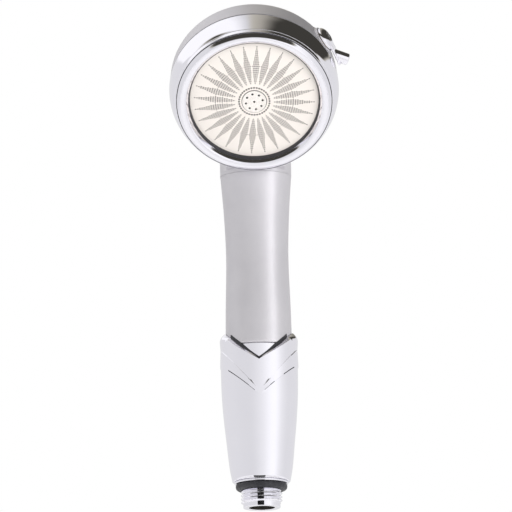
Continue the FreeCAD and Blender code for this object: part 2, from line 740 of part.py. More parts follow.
def lever_pin():
    body = pin_solid(PIN_R, -PIN_R, PIN_R + PIN_LENGTH)
    top = body.Edges[0]
    for edge in body.Edges:
        if edge.CenterOfMass.z > top.CenterOfMass.z and edge.Closed:
            top = edge
    body = body.makeChamfer(0.4, [top])
    stub = pin_solid(PIN_STUB_R, -1.0, 2.7)
    shell = placed(ring(arm_low_r - 5, arm_low_r + ARM_THICK + 0.15, -30, 30), DIAL.inverse())
    body = body.cut(shell)
    return in_dial(body.fuse(stub).removeSplitter())


def lever_screw():
    head = ring(0, SCREW_HEAD_R - FIT, hub_top - 1.0 + FIT, hub_top)
    shank = ring(0, SCREW_R - 0.3 - FIT, spool_out - 8, hub_top - 0.5)
    return in_dial(head.fuse(shank).cut(Part.makeBox(0.7, 6, 0.5, V(-0.35, -3, hub_top - 0.5))))


# ---- Parts ----
PARTS = {
    "inlet_nipple": inlet_nipple,
    "nipple_o_ring": nipple_o_ring,
    "inlet_rubber_ring": inlet_rubber_ring,
    "flow_regulator": flow_regulator,
    "check_valve_cage": check_valve_cage,
    "check_valve_poppet": check_valve_poppet,
    "poppet_seal": poppet_seal,
    "check_valve_spring": check_valve_spring,
    "lower_sleeve": lower_sleeve,
    "filter_lower_cap": lambda: filter_cap(filter_z),
    "filter_upper_cap": lambda: filter_cap(filter_top - FILTER_CAP_HEIGHT + FIT),
    "filter_tube": filter_tube,
    "filter_media": filter_media,
    "filter_screen": filter_screen,
    "filter_gasket": filter_gasket,
    "inner_coupling": inner_coupling,
    "coupling_o_ring": coupling_o_ring,
    "tube_foot_o_ring": tube_foot_o_ring,
    "handle_tube": handle_tube,
    "water_pipe": water_pipe,
    "neck_o_ring": neck_o_ring,
    "head_back_shell": head_back_shell,
    "seam_seal": seam_seal,
    "front_housing": front_housing,
    "water_distributor": water_distributor,
    "plate_gasket": plate_gasket,
    "spray_plate": spray_plate,
    "centre_nozzle": centre_nozzle,
    "face_ring": face_ring,
    "diverter_body": diverter_body,
    "diverter_screws": diverter_screws,
    "detent_ball": detent_ball,
    "detent_spring": detent_spring,
    "selector_spool": selector_spool,
    "spool_o_rings": spool_o_rings,
    "selector_lever": selector_lever,
    "lever_pin": lever_pin,
    "lever_screw": lever_screw,
}

os.makedirs("parts", exist_ok=True)
for name, make in PARTS.items():
    shape = make()
    if not shape.isValid() or shape.Volume <= 0:
        raise ValueError(name + " isn't a valid solid")
    shape.exportStep("parts/" + name + ".step")
    print(name, len(shape.Solids), "solid, %.1f mm3" % shape.Volume)
print("lever axis point", HEAD.multVec(V(0, 0, -DIAL_DEPTH)), "direction", HEAD.Rotation.multVec(dial_out))
print("head origin", head_origin)
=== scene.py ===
import json
import math

import bmesh
import bpy
import numpy as np
from mathutils import Matrix, Vector


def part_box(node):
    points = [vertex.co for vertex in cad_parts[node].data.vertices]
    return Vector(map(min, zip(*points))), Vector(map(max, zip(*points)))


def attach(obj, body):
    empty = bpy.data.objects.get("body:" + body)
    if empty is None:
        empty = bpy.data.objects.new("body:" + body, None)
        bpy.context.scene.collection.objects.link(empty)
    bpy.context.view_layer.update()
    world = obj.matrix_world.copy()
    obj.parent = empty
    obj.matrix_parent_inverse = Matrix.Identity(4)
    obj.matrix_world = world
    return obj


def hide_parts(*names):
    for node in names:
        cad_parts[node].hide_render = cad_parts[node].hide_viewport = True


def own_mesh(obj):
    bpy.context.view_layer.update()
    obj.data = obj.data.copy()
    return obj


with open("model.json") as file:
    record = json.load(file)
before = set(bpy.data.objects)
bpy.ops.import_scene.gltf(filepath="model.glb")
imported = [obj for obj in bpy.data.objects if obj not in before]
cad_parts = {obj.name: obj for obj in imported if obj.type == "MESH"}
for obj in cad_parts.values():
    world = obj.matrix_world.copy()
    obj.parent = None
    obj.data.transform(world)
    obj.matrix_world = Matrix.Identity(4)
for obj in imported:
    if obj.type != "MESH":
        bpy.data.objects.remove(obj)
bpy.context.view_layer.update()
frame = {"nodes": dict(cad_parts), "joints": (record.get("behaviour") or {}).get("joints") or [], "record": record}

# Handheld shower head. Shapes are worked out in millimetres and put into meshes in metres.
MM = 0.001
TURN = 2 * np.pi


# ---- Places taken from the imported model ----
def low_corner(node):
    return np.array(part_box(node)[0]) / MM


def high_corner(node):
    return np.array(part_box(node)[1]) / MM


def joint_named(name):
    return next(joint for joint in frame["joints"] if joint["name"] == name)


FACE_TILT = math.radians(40)
X_AXIS = np.array([1.0, 0.0, 0.0])
SPRAY = np.array([0.0, -math.cos(FACE_TILT), -math.sin(FACE_TILT)])
FACE_UP = np.array([0.0, -math.sin(FACE_TILT), math.cos(FACE_TILT)])
SEAL_MIDDLE = 0.225  # how far the seam seal's middle lies before the head's centre
HEAD_CENTRE = (low_corner("seam_seal") + high_corner("seam_seal")) / 2 - SPRAY * SEAL_MIDDLE
selector_joint = joint_named("selector_turn")
DIAL_CENTRE = np.array(selector_joint["pos_m"]) / MM
DIAL_OUT = np.array(selector_joint["axis"])
DIAL_DOWN = np.cross(-SPRAY, DIAL_OUT)


def placed(points, origin, x_axis, y_axis, z_axis):
    """Point = origin + x * x_axis + y * y_axis + z * z_axis."""
    return (origin + points[..., 0:1] * x_axis + points[..., 1:2] * y_axis
            + points[..., 2:3] * z_axis)


def in_head(points):
    return placed(points, HEAD_CENTRE, X_AXIS, FACE_UP, SPRAY)


def in_dial(points):
    return placed(points, DIAL_CENTRE, DIAL_DOWN, -SPRAY, DIAL_OUT)


def from_head(points):
    """How far right, up the face and towards the spray each point lies from the head's centre."""
    local = points - HEAD_CENTRE
    return local @ X_AXIS, local @ FACE_UP, local @ SPRAY


def smooth_step(low, high, value):
    t = np.clip((value - low) / (high - low), 0, 1)
    return t * t * (3 - 2 * t)


# ---- Meshes ----
MERGE_DISTANCE = 2e-6  # in metres


def grid_quads(rows, columns, close_rows=False):
    """Quads between neighbouring points. Each row joins up, and closed rows join last to first."""
    i, j = np.meshgrid(np.arange(rows if close_rows else rows - 1), np.arange(columns),
                       indexing="ij")
    i_next = (i + 1) % rows
    j_next = (j + 1) % columns
    corners = [(i, j), (i, j_next), (i_next, j_next), (i_next, j)]
    return np.stack([row * columns + column for row, column in corners], -1).reshape(-1, 4)


def joined(grids):
    """One list of points and quads from several (points, quads) pairs."""
    points, quads, count = [], [], 0
    for grid_points, grid_faces in grids:
        flat = grid_points.reshape(-1, 3)
        points.append(flat)
        quads.append(grid_faces + count)
        count += len(flat)
    return np.concatenate(points), np.concatenate(quads)


def smooth_between(mesh, sharp_angle):
    """Shades a mesh smooth between the edges that are sharper than an angle in degrees."""
    mesh.shade_smooth()
    mesh.set_sharp_from_angle(angle=math.radians(sharp_angle))


def tidy_mesh(mesh, sharp_angle, recalculate=True):
    """Merges doubled points and turns the faces outwards, then shades the mesh."""
    work = bmesh.new()
    work.from_mesh(mesh)
    bmesh.ops.remove_doubles(work, verts=work.verts, dist=MERGE_DISTANCE)
    bmesh.ops.dissolve_degenerate(work, edges=work.edges, dist=1e-7)
    if recalculate:
        bmesh.ops.recalc_face_normals(work, faces=work.faces)
    work.to_mesh(mesh)
    work.free()
    smooth_between(mesh, sharp_angle)


def surface(name, points, quads):
    """Mesh in metres of points given in millimetres."""
    mesh = bpy.data.meshes.new(name)
    mesh.from_pydata((points.reshape(-1, 3) * MM).tolist(), [], quads.tolist())
    return mesh


def linked(name, data):
    """Object of a mesh, light or camera, put into the scene."""
    thing = bpy.data.objects.new(name, data)
    bpy.context.scene.collection.objects.link(thing)
    return thing


def mounted(name, mesh, body, node):
    """Object of a finished mesh that rides on a body and stands for a CAD node."""
    mesh.name = name
    piece = linked(name, mesh)
    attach(piece, body)
    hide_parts(node)
    return piece


def new_piece(name, points, quads, body, slot, node, sharp_angle=40, recalculate=True):
    """Mounted piece made of a surface in its slot's finish."""
    mesh = surface(name, points, quads)
    tidy_mesh(mesh, sharp_angle, recalculate)
    mesh.materials.append(SLOT_FINISH[slot])
    return mounted(name, mesh, body, node)


def face_centres(mesh):
    """Middle of each face, in millimetres."""
    centre = np.empty(len(mesh.polygons) * 3)
    mesh.polygons.foreach_get("center", centre)
    return centre.reshape(-1, 3) / MM


def second_finish(mesh, material, chosen):
    """Adds a finish and gives it to the chosen faces."""
    mesh.materials.append(material)
    mesh.polygons.foreach_set("material_index", chosen.astype(np.int32))


def rounded(corners, radius, steps=4):
    """Closed line through (x, y, radius) corners, each a parabola between its two sides."""
    line = []
    count = len(corners)
    t = np.linspace(0, 1, steps + 1)[:, None]
    for index, corner in enumerate(corners):
        here = np.array(corner[:2], float)
        reach = corner[2] if len(corner) > 2 else radius
        before = np.array(corners[index - 1][:2], float) - here
        after = np.array(corners[(index + 1) % count][:2], float) - here
        if reach <= 0:
            line.append(here[None])
            continue
        start = here + before * min(reach / np.linalg.norm(before), 0.45)
        end = here + after * min(reach / np.linalg.norm(after), 0.45)
        line.append((1 - t) ** 2 * start + 2 * t * (1 - t) * here + t ** 2 * end)
    return np.concatenate(line)


def even_turn(count):
    """Even angles round one turn."""
    return np.arange(count) * TURN / count


def about_z(radius, a, height):
    """Points at a radius, an angle and a height: (radius cos a, radius sin a, height)."""
    x, y = radius * np.cos(a), radius * np.sin(a)
    return np.stack([x, y, height + 0 * x], -1)


def turned(line, sectors):
    """Turns a line of (radius, height) about Z."""
    return about_z(line[:, 0:1], even_turn(sectors), line[:, 1:2])


def turned_ring(line, sectors):
    """Points and quads of a closed line turned about Z."""
    return turned(line, sectors), grid_quads(len(line), sectors, close_rows=True)


def turned_disc(line, sectors, place):
    """Points and quads of a line that starts and ends on Z, turned about it and then placed."""
    return place(turned(line, sectors)), grid_quads(len(line), sectors)


def turned_piece(name, line, sectors, slot, node, sharp_angle=40, place=None):
    """Piece on the root body: a closed line turned about Z and then set into its own place."""
    points, quads = turned_ring(line, sectors)
    if place:
        points = place(points)
    return new_piece(name, points, quads, "shower", slot, node, sharp_angle)


def through(points, samples):
    """Smooth line through points: Catmull-Rom spans, each an even cubic of its four neighbours."""
    p = np.array(points, float)
    p = np.concatenate([2 * p[:1] - p[1:2], p, 2 * p[-1:] - p[-2:-1]])
    spans = len(p) - 3
    place = np.linspace(0, spans, samples)
    k = np.minimum(place.astype(int), spans - 1)
    t = (place - k)[:, None]
    a, b, c, d = p[k], p[k + 1], p[k + 2], p[k + 3]
    return 0.5 * (2 * b + (c - a) * t + (2 * a - 5 * b + 4 * c - d) * t ** 2
                  + (3 * b - a - 3 * c + d) * t ** 3)


# ---- Materials ----
class NodeTree:
    """Short calls for the nodes of a finish or of the studio's sky."""

    def __init__(self, tree):
        self.nodes = tree.nodes
        self.links = tree.links

    def span(self, value, low, high, new_low, new_high):
        """Carries a value from two limits over to two new ones by a smooth step."""
        node = self.nodes.new("ShaderNodeMapRange")
        node.interpolation_type = "SMOOTHSTEP"
        for socket, number in zip(("From Min", "From Max", "To Min", "To Max"),
                                  (low, high, new_low, new_high)):
            node.inputs[socket].default_value = number
        self.links.new(value, node.inputs["Value"])
        return node.outputs["Result"]

    def blend(self, factor, first, second):
        """Mixes two colours, each a tuple or a socket."""
        node = self.nodes.new("ShaderNodeMix")
        node.data_type = "RGBA"
        self.links.new(factor, node.inputs["Factor"])
        for index, colour in ((6, first), (7, second)):
            if isinstance(colour, tuple):
                node.inputs[index].default_value = (*colour, 1.0)
            else:
                self.links.new(colour, node.inputs[index])
        return node.outputs[2]


class Finish(NodeTree):
    """A material under construction."""

    def __init__(self, name, **sockets):
        self.material = bpy.data.materials.new(name)
        self.material.use_nodes = True
        super().__init__(self.material.node_tree)
        self.shader = self.nodes["Principled BSDF"]
        self.coordinates = self.nodes.new("ShaderNodeTexCoord").outputs["Object"]
        for socket, value in sockets.items():
            self.shader.inputs[socket.replace("_", " ")].default_value = value

    def noise(self, scale, detail, rough=0.55, source=None):
        node = self.nodes.new("ShaderNodeTexNoise")
        node.inputs["Scale"].default_value = scale
        node.inputs["Detail"].default_value = detail
        node.inputs["Roughness"].default_value = rough
        self.links.new(source or self.coordinates, node.inputs["Vector"])
        return node.outputs["Fac"]

    def stretched(self, scale):
        """Object coordinates stretched by a factor along each axis."""
        node = self.nodes.new("ShaderNodeMapping")
        node.inputs["Scale"].default_value = scale
        self.links.new(self.coordinates, node.inputs["Vector"])
        return node.outputs["Vector"]

    def attribute(self, name):
        node = self.nodes.new("ShaderNodeAttribute")
        node.attribute_name = name
        return node.outputs["Fac"]

    def colour(self, pattern, first, second):
        """Base colour that goes from one colour to another with a pattern."""
        self.links.new(self.blend(pattern, first, second), self.shader.inputs["Base Color"])

    def gloss(self, pattern, low, high, pattern_high=0.7):
        """Roughness that goes from low to high with a pattern."""
        rough = self.span(pattern, 0.3, pattern_high, low, high)
        self.links.new(rough, self.shader.inputs["Roughness"])

    def relief(self, pattern, strength, distance):
        """Fine bump by a pattern; the distance is in metres."""
        node = self.nodes.new("ShaderNodeBump")
        node.inputs["Strength"].default_value = strength
        node.inputs["Distance"].default_value = distance
        self.links.new(pattern, node.inputs["Height"])
        self.links.new(node.outputs["Normal"], self.shader.inputs["Normal"])


def noisy_finish(name, colour, gloss, relief=None, **sockets):
    """Finish whose colour, gloss and bump each follow a noise of a given scale and detail.

    After these two come both colours, both roughnesses, or the bump's strength and distance."""
    f = Finish(name, **sockets)
    f.colour(f.noise(*colour[:2]), *colour[2:])
    f.gloss(f.noise(*gloss[:2]), *gloss[2:])
    if relief:
        f.relief(f.noise(*relief[:2]), *relief[2:])
    return f.material


def satin_plating():
    """Pearl-satin plating: a fine grain in the gloss and a hair-fine bump."""
    f = Finish("satin_plating", Metallic=0.6)
    grain = f.noise(5200, 2)
    f.colour(f.noise(120, 3), (0.60, 0.585, 0.62), (0.66, 0.645, 0.675))
    f.gloss(grain, 0.34, 0.46)
    f.relief(grain, 0.12, 0.00004)
    return f.material


def spray_plate_finish():
    """Cream satin plate; the petal fields, marked by an attribute, are a little greyer."""
    f = Finish("spray_plate_cream")
    mottle = f.noise(420, 3)
    plain = f.blend(mottle, (0.785, 0.733, 0.69), (0.815, 0.765, 0.723))
    field = f.blend(mottle, (0.655, 0.61, 0.578), (0.70, 0.656, 0.62))
    f.colour(f.attribute("petal"), plain, field)
    f.gloss(f.noise(900, 2), 0.32, 0.45)
    f.relief(f.noise(2600, 2), 0.08, 0.00003)
    return f.material


def grey_nozzle_finish():
    """Speckled matte grey of the centre nozzle."""
    f = Finish("nozzle_grey")
    speck = f.span(f.noise(2300, 3), 0.35, 0.65, 0, 1)
    f.colour(speck, (0.70, 0.66, 0.63), (0.87, 0.83, 0.80))
    f.gloss(f.noise(1200, 2), 0.42, 0.6)
    f.relief(f.noise(3000, 2), 0.15, 0.00004)
    return f.material


def felt_finish():
    """Pressed fibre of the filter's core."""
    f = Finish("filter_fibre", Roughness=0.95, Sheen_Weight=0.4)
    fibres = f.noise(1500, 5, 0.7, f.stretched((1, 1, 0.25)))
    f.colour(fibres, (0.78, 0.76, 0.70), (0.94, 0.925, 0.88))
    f.relief(fibres, 0.6, 0.0003)
    return f.material


def lined_metal(name, scale, stretch, dark, light):
    """Bright metal with the fine lines of drawing or turning, stretched along the coordinates."""
    f = Finish(name, Metallic=1.0)
    lines = f.noise(scale, 3, 0.6, f.stretched(stretch))
    f.colour(lines, dark, light)
    f.gloss(lines, 0.18, 0.34)
    f.relief(lines, 0.08, 0.00004)
    return f.material


# Painted shade for the inside of the spray holes, with a trace of lime
HOLE_SHADE = noisy_finish("spray_hole_painted_shade", (1500, 2, (0.02, 0.018, 0.017), (0.06, 0.056, 0.053)),
                    (2500, 2, 0.5, 0.7))
# Painted shade for the inside of the inlet: a dark, mottled dull metal
BORE_SHADE = noisy_finish("inlet_bore_painted_shade", (400, 4, (0.03, 0.028, 0.025), (0.09, 0.08, 0.07)),
                    (900, 3, 0.3, 0.55), Metallic=0.7)
SLOT_FINISH = {
    # Mirror plating with faint water marks in its gloss and a very shallow waviness
    "chrome": noisy_finish(
        "chrome_plating", (60, 2, (0.895, 0.885, 0.95), (0.935, 0.925, 0.985)),
        (160, 4, 0.035, 0.085, 0.75), (90, 2, 0.06, 0.0004), Metallic=1.0),
    "satin_metal": satin_plating(),
    "spray_plate": spray_plate_finish(),
    "grey_nozzle": grey_nozzle_finish(),
    # Fine moulded grain and dull patches
    "black_rubber": noisy_finish(
        "black_rubber", (300, 3, (0.018, 0.018, 0.022), (0.035, 0.035, 0.042)),
        (700, 3, 0.38, 0.6), (2400, 3, 0.25, 0.00006)),
    # Injection-moulded plastic with faint flow marks
    "white_plastic": noisy_finish(
        "white_moulding", (90, 4, (0.80, 0.80, 0.785), (0.86, 0.86, 0.85)), (500, 3, 0.33, 0.5),
        (1800, 2, 0.1, 0.00004), Subsurface_Weight=0.05, Subsurface_Scale=0.002),
    # Polycarbonate of the filter's tube
    "clear_plastic": noisy_finish(
        "clear_moulding", (70, 2, (0.86, 0.91, 0.93), (0.92, 0.95, 0.96)), (300, 3, 0.05, 0.14),
        IOR=1.58, Transmission_Weight=0.85),
    "filter_felt": felt_finish(),
    "stainless_steel": lined_metal(
        "stainless", 900, (1, 1, 0.1), (0.60, 0.60, 0.61), (0.72, 0.72, 0.725)),
    "brass": lined_metal(
        "turned_brass", 1100, (1, 0.2, 1), (0.66, 0.48, 0.22), (0.80, 0.62, 0.32))}

for subpart in frame["record"]["subparts"]:
    cad_mesh = frame["nodes"][subpart["node"]].data
    cad_mesh.materials.clear()
    cad_mesh.materials.append(SLOT_FINISH[subpart["material_slot"]])


# ---- Threaded inlet ----
THREAD_PITCH = 1.814
THREAD_DEPTH = 1.0
THREAD_R = 10.48
THREAD_FOOT = 2.2
THREAD_TOP = 8.6
THREAD_RUN_IN = 0.35  # how far below its foot the thread starts to rise
INLET_BORE_R = 6.5
INLET_FACE_R = 9.35


def inlet_nipple():
    """Turned line whose radius, over the thread's height, is crest - depth * groove(phase).

    The phase is height / pitch - angle / turn, so the groove climbs one pitch a turn. The groove is
    a cosine with rounded crests, and it fades at both ends of the thread."""
    sectors = 192
    a = even_turn(sectors)
    foot = rounded([(INLET_BORE_R, 2.1, 0), (INLET_BORE_R, 0.0), (INLET_FACE_R, 0.0),
                    (INLET_FACE_R, 2.1, 0)], 0.35, 4)
    thread_z = np.linspace(THREAD_FOOT - THREAD_RUN_IN, THREAD_TOP, 66)
    upper = rounded([
        (9.9, 8.6, 0.1), (9.9, 12.2, 0), (13.6, 12.2), (13.6, 13.2), (12.0, 13.2, 0),
        (12.0, 26.0, 0.3), (9.0, 26.0, 0.3), (9.0, 12.2, 0), (INLET_BORE_R, 12.2, 0)], 0.25, 3)
    line = np.concatenate([foot[6:11], np.stack([0 * thread_z, thread_z], 1), upper, foot[1:6]])
    points = turned(line, sectors)
    z = thread_z[:, None]
    phase = z / THREAD_PITCH - a / TURN
    groove = (0.5 - 0.5 * np.cos(TURN * phase)) ** 0.85
    run_in = smooth_step(THREAD_FOOT - THREAD_RUN_IN, THREAD_FOOT + 0.55, z)
    run_out = smooth_step(THREAD_TOP, THREAD_TOP - 0.5, z)
    crest = INLET_FACE_R + (THREAD_R - INLET_FACE_R) * run_in * run_out
    radius = np.maximum(crest - THREAD_DEPTH * groove * run_in * run_out, INLET_FACE_R)
    first = 5
    points[first:first + len(z)] = about_z(radius, a, z)
    quads = grid_quads(len(line), sectors, close_rows=True)
    piece = new_piece("inlet_threaded_nipple", points, quads, "shower", "chrome", "inlet_nipple")
    centre = face_centres(piece.data)
    from_axis = np.hypot(centre[:, 0], centre[:, 1])
    # The bore and the chamber get the dark finish: painted shade inside the inlet.
    in_bore = (from_axis < INLET_BORE_R + 0.4) & (centre[:, 2] > 0.2)
    in_chamber = (from_axis < 9.05) & (centre[:, 2] > 12)
    second_finish(piece.data, BORE_SHADE, in_bore | in_chamber)


def inlet_rubber_ring():
    """Turned ring with a bulging side, a smooth line that draws in towards the thread."""
    side = through([(10.7, 8.78), (11.7, 8.95), (12.5, 9.4), (12.9, 10.1), (13.0, 10.9),
                    (12.9, 11.6), (12.6, 12.02)], 24)
    line = np.concatenate([[[10.02, 8.72]], side, [[10.02, 12.08]]])
    turned_piece("inlet_rubber_ring_moulded", line, 160, "black_rubber", "inlet_rubber_ring", 50)


SPRING_R = 3.2
SPRING_WIRE_R = 0.3
SPRING_TURNS = 5


def valve_spring():
    """Round wire wound about Z: centre = (R cos a, R sin a, climb * a), with a round section.

    Its turns climb evenly from its foot to its top."""
    steps_a_turn, sides = 24, 10
    low_z = low_corner("check_valve_spring")[2]
    high_z = high_corner("check_valve_spring")[2]
    climb = (high_z - low_z - 2 * SPRING_WIRE_R) / (SPRING_TURNS * TURN)
    a = np.linspace(0, SPRING_TURNS * TURN, SPRING_TURNS * steps_a_turn + 1)[:, None]
    b = even_turn(sides)[None, :, None]
    outwards = about_z(1.0, a, 0)
    centre = about_z(SPRING_R, a, low_z + SPRING_WIRE_R + climb * a)
    along = np.stack([-SPRING_R * np.sin(a), SPRING_R * np.cos(a), climb + 0 * a], -1)
    upwards = np.cross(outwards, along / np.linalg.norm(along, axis=-1, keepdims=True))
    section = SPRING_WIRE_R * (np.cos(b) * outwards + np.sin(b) * upwards)
    cap = centre + 0 * section
    points = np.concatenate([cap[:1], centre + section, cap[-1:]])
    piece = new_piece("check_valve_spring_coil", points, grid_quads(len(points), sides), "shower",
                      "stainless_steel", "check_valve_spring", 50)
    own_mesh(piece)


# ---- Lower sleeve with its crown ----
SLEEVE_FOOT = 13.3
SLEEVE_R = 19.4
CROWN_BORE = 17.05
VALLEY_Z = 72.9
CROWN_SLOPE = 0.204  # rise of the rim for each degree away from the valley
RIM_HEIGHT = 1.15
CHEEK_ANGLE = 33.6  # half-width of the rounded cheek at each side
CREASE_Z, CREASE_DIP = 84.4, 4.6  # the cheek's crease at its ends, and its dip between
CHEEK_Z, CHEEK_RISE = 85.55, 3.75  # the cheek's top at its ends, and its rise between
CHEVRON_LOW = 54.8
CHEVRON_SLOPE = 18.5 / 21.4
CHEVRON_STEP = 0.3  # how far the chevron's lower edge stands out
CHEVRON_EDGE = 0.22  # height of that edge's rounding
CHEVRON_FADE = 0.72  # share of the step that is lost up to the chevron's top


def sleeve_radius(z):
    """Outer radius of the sleeve at a height, a smooth line through the taper's points."""
    heights = [SLEEVE_FOOT, 20.8, 33.1, 45.4, 57.3, 70.5, 80.0, 92.0]
    radii = [14.6, 15.95, 17.2, 18.42, 19.2, 19.45, SLEEVE_R, SLEEVE_R]
    fine = through(np.stack([heights, radii], 1), 400)
    return np.interp(z, fine[:, 0], fine[:, 1])


def lower_sleeve():
    """Skin over angle and row. Each row lies at a height that is a mix of key heights.

    The key heights follow the foot, both lines of the raised chevron, the crease of the cheek and
    the rim, so the rows run along those edges. The rim falls from the sides to the front and back
    in proportion to the angle. The chevron stands out from the sleeve's radius, and the cheek's
    radius bulges and then closes in to the rim's bore."""
    sectors = 480
    a = even_turn(sectors)
    degrees = np.degrees(np.arcsin(np.clip(np.abs(np.sin(a)), 0, 1)))
    across = SLEEVE_R * np.abs(np.cos(a))
    cheek = np.clip(1 - degrees / CHEEK_ANGLE, 0, 1)
    rim_line = VALLEY_Z + CROWN_SLOPE * (90 - degrees)
    edge = np.where(degrees > CHEEK_ANGLE, rim_line,
                    CREASE_Z - CREASE_DIP * (1 - (1 - cheek) ** 1.6))
    top = np.where(degrees > CHEEK_ANGLE, rim_line + RIM_HEIGHT,
                   CHEEK_Z + CHEEK_RISE * (1 - (1 - cheek) ** 1.25))
    low_edge = CHEVRON_LOW + CHEVRON_SLOPE * across
    high_edge = np.minimum(low_edge + 2.2 + 6.3 * (across / SLEEVE_R) ** 1.2, edge - 0.8)
    step = CHEVRON_STEP * smooth_step(0, 7, across)
    foot = 13.55
    rows = []

    def row(z, radius):
        rows.append(about_z(radius, a, z))

    def skin(z, out=0.0):
        row(z, sleeve_radius(z) + out)

    for t in np.linspace(0, 1, 40):
        skin(foot + (low_edge - 0.05 - foot) * t)
    for t in (0.15, 0.4, 0.7, 0.9, 1.0):
        skin(low_edge + CHEVRON_EDGE * t, step * (1 - (1 - t) ** 2))
    for t in np.linspace(0.06, 1, 12):
        skin(low_edge + CHEVRON_EDGE + (high_edge - low_edge - CHEVRON_EDGE) * t,
             step * (1 - CHEVRON_FADE * t))
    for t in (0.35, 0.75, 1.0):
        skin(high_edge + 0.12 * t, step * (1 - CHEVRON_FADE) * (1 - t))
    for t in np.linspace(0.1, 1, 12):
        skin(high_edge + 0.12 + (edge - 0.1 - high_edge - 0.12) * t)
    bulge_height = [0, 0.2, 0.45, 0.56, 0.66, 0.8, 0.88, 0.95, 1]
    bulge_radius = [0, 0.1, 0.28, 0.3, 0.15, -0.45, -1.05, -1.7, -2.3]
    strength = np.clip(cheek * 3.5, 0, 1) ** 0.8
    for t in np.linspace(0, 1, 22):
        z = edge + (top - edge) * t
        flat = -(sleeve_radius(edge) - CROWN_BORE - 0.1) * (0.04 + 0.96 * t)
        full = np.interp(t, bulge_height, bulge_radius)
        row(z, sleeve_radius(edge) + (1 - strength) * flat + strength * full)
    for z in (top - 0.1, np.minimum(top - 0.2, 70.0), 62.0):
        row(z, CROWN_BORE)
    for radius, z in ((14.8, 62.0), (14.8, 27.5), (12.1, 27.5), (12.1, SLEEVE_FOOT),
                      (14.3, SLEEVE_FOOT), (14.5, 13.38)):
        row(z, radius)
    points = np.stack(rows)
    quads = grid_quads(len(rows), sectors, close_rows=True)
    piece = new_piece("lower_sleeve_skin", points, quads, "shower", "chrome", "lower_sleeve", 38)
    centre = face_centres(piece.data)
    x = centre[:, 0]
    # A black line along the step under the chevron's lower edge, in spans on each side: painted shade and dark
    # reflection.
    height = centre[:, 2] - CHEVRON_LOW - CHEVRON_SLOPE * np.abs(x)
    shade_spans = ((x > -15.6) & (x < -2.6)) | ((x > 2.4) & (x < 7.6)) | ((x > 12.2) & (x < 17.6))
    line = (np.abs(height - 0.09) < 0.2) & shade_spans & (np.hypot(x, centre[:, 1]) > 18)
    second_finish(piece.data, SLOT_FINISH["black_rubber"], line)
    # A black band in the gap between the crown's rim and the tube: painted shade and dark reflection of the gap.
    shade_band_top = np.where(degrees > CHEEK_ANGLE, top, top - 1.5) - 0.2
    lift = np.where(degrees > CHEEK_ANGLE, 0.8 + 1.1 * smooth_step(4, 40, 90 - degrees),
                    1.9 - 1.9 * np.clip(cheek * 1.5, 0, 1))
    band = [(16.98, -4.0), (16.98, lift), (16.9, lift), (16.5, lift), (16.5, -4.0)]
    rings = [about_z(r, a, shade_band_top + h) for r, h in band]
    new_piece("crown_gap_liner", np.stack(rings), grid_quads(len(band), sectors, close_rows=True),
              "shower", "black_rubber", "lower_sleeve")


# ---- Coupling and handle tube ----
def coupling_neck():
    """Turned line: the neck seen in the crown's notch, and the inner wall up to the tube."""
    line = rounded([
        (16.9, 62.1), (16.9, 70.5), (16.2, 70.5, 0.1), (16.2, 81.9), (13.5, 81.9, 0),
        (13.5, 94.0), (7.1, 94.0, 0), (7.1, 84.0, 0), (5.8, 84.0, 0), (5.8, 68.1, 0),
        (12.0, 62.1, 0)], 0.3)
    turned_piece("coupling_neck_ring", line, 160, "chrome", "inner_coupling")


def handle_tube():
    """Turned waisted line, a smooth curve through five points of radius and share of the length."""
    foot_z = low_corner("handle_tube")[2]
    length = high_corner("handle_tube")[2] + 0.15 - foot_z
    keys = [(16.75, 0), (16.45, 0.21), (15.75, 0.52), (16.45, 0.77), (17.9, 1)]
    side = through([(r, foot_z + length * t) for r, t in keys], 60)
    top_z = foot_z + length
    foot_edge = [(13.6, foot_z), (16.45, foot_z), (16.62, foot_z + 0.05), (16.72, foot_z + 0.2)]
    top_edge = [(17.92, top_z - 0.06), (17.85, top_z), (13.6, top_z)]
    line = np.concatenate([foot_edge, side[1:-1], top_edge])
    turned_piece("handle_tube_satin", line, 192, "satin_metal", "handle_tube")


# ---- Back shell with its neck ----
PIVOT_Y = -40.0  # the neck bends about this line, which lies along X
PIVOT_Z = 172.0
NECK_SWEEP = math.radians(48)
NECK_RUN = 29.9
NECK_R = 18.0
NECK_THINNING = 3.7  # how much the radius shrinks along the straight run
DOME_BAND_R = 41.75
DOME_BAND_TAPER = 0.07
DOME_BALL_R = 118.6
DOME_BALL_HEIGHT = 94.6  # the ball's centre lies this far before the head's centre
DOME_FRONT = 3.0
SHELL_WALL = 2.0
SHELL_FILLET = 9.0
SHELL_SWEEP = 111.5  # degrees that the rows' planes turn about the bend's line
SHELL_STRIDE = 1.5  # a ray's step on its way out to the surface


def neck_distance(p):
    """Distance to a rod that stands up, bends forwards and then thins along a straight run."""
    x, y, z = p[..., 0], p[..., 1], p[..., 2]
    upright = np.hypot(np.hypot(x, y), np.maximum(z - PIVOT_Z, 0)) - NECK_R
    angle = np.clip(np.arctan2(z - PIVOT_Z, y - PIVOT_Y), 0, NECK_SWEEP)
    bent = np.sqrt(x ** 2 + (y - PIVOT_Y + PIVOT_Y * np.cos(angle)) ** 2
                   + (z - PIVOT_Z + PIVOT_Y * np.sin(angle)) ** 2) - NECK_R
    end_y = PIVOT_Y - PIVOT_Y * math.cos(NECK_SWEEP)
    end_z = PIVOT_Z - PIVOT_Y * math.sin(NECK_SWEEP)
    along = (z - end_z) * math.cos(NECK_SWEEP) - (y - end_y) * math.sin(NECK_SWEEP)
    t = np.clip(along / NECK_RUN, 0, 1)
    straight = np.sqrt(x ** 2 + (y - end_y + t * NECK_RUN * math.sin(NECK_SWEEP)) ** 2
                       + (z - end_z - t * NECK_RUN * math.cos(NECK_SWEEP)) ** 2)
    straight = straight - NECK_R + NECK_THINNING * t * t * (3 - 2 * t)
    return np.minimum(np.minimum(upright, bent), straight)


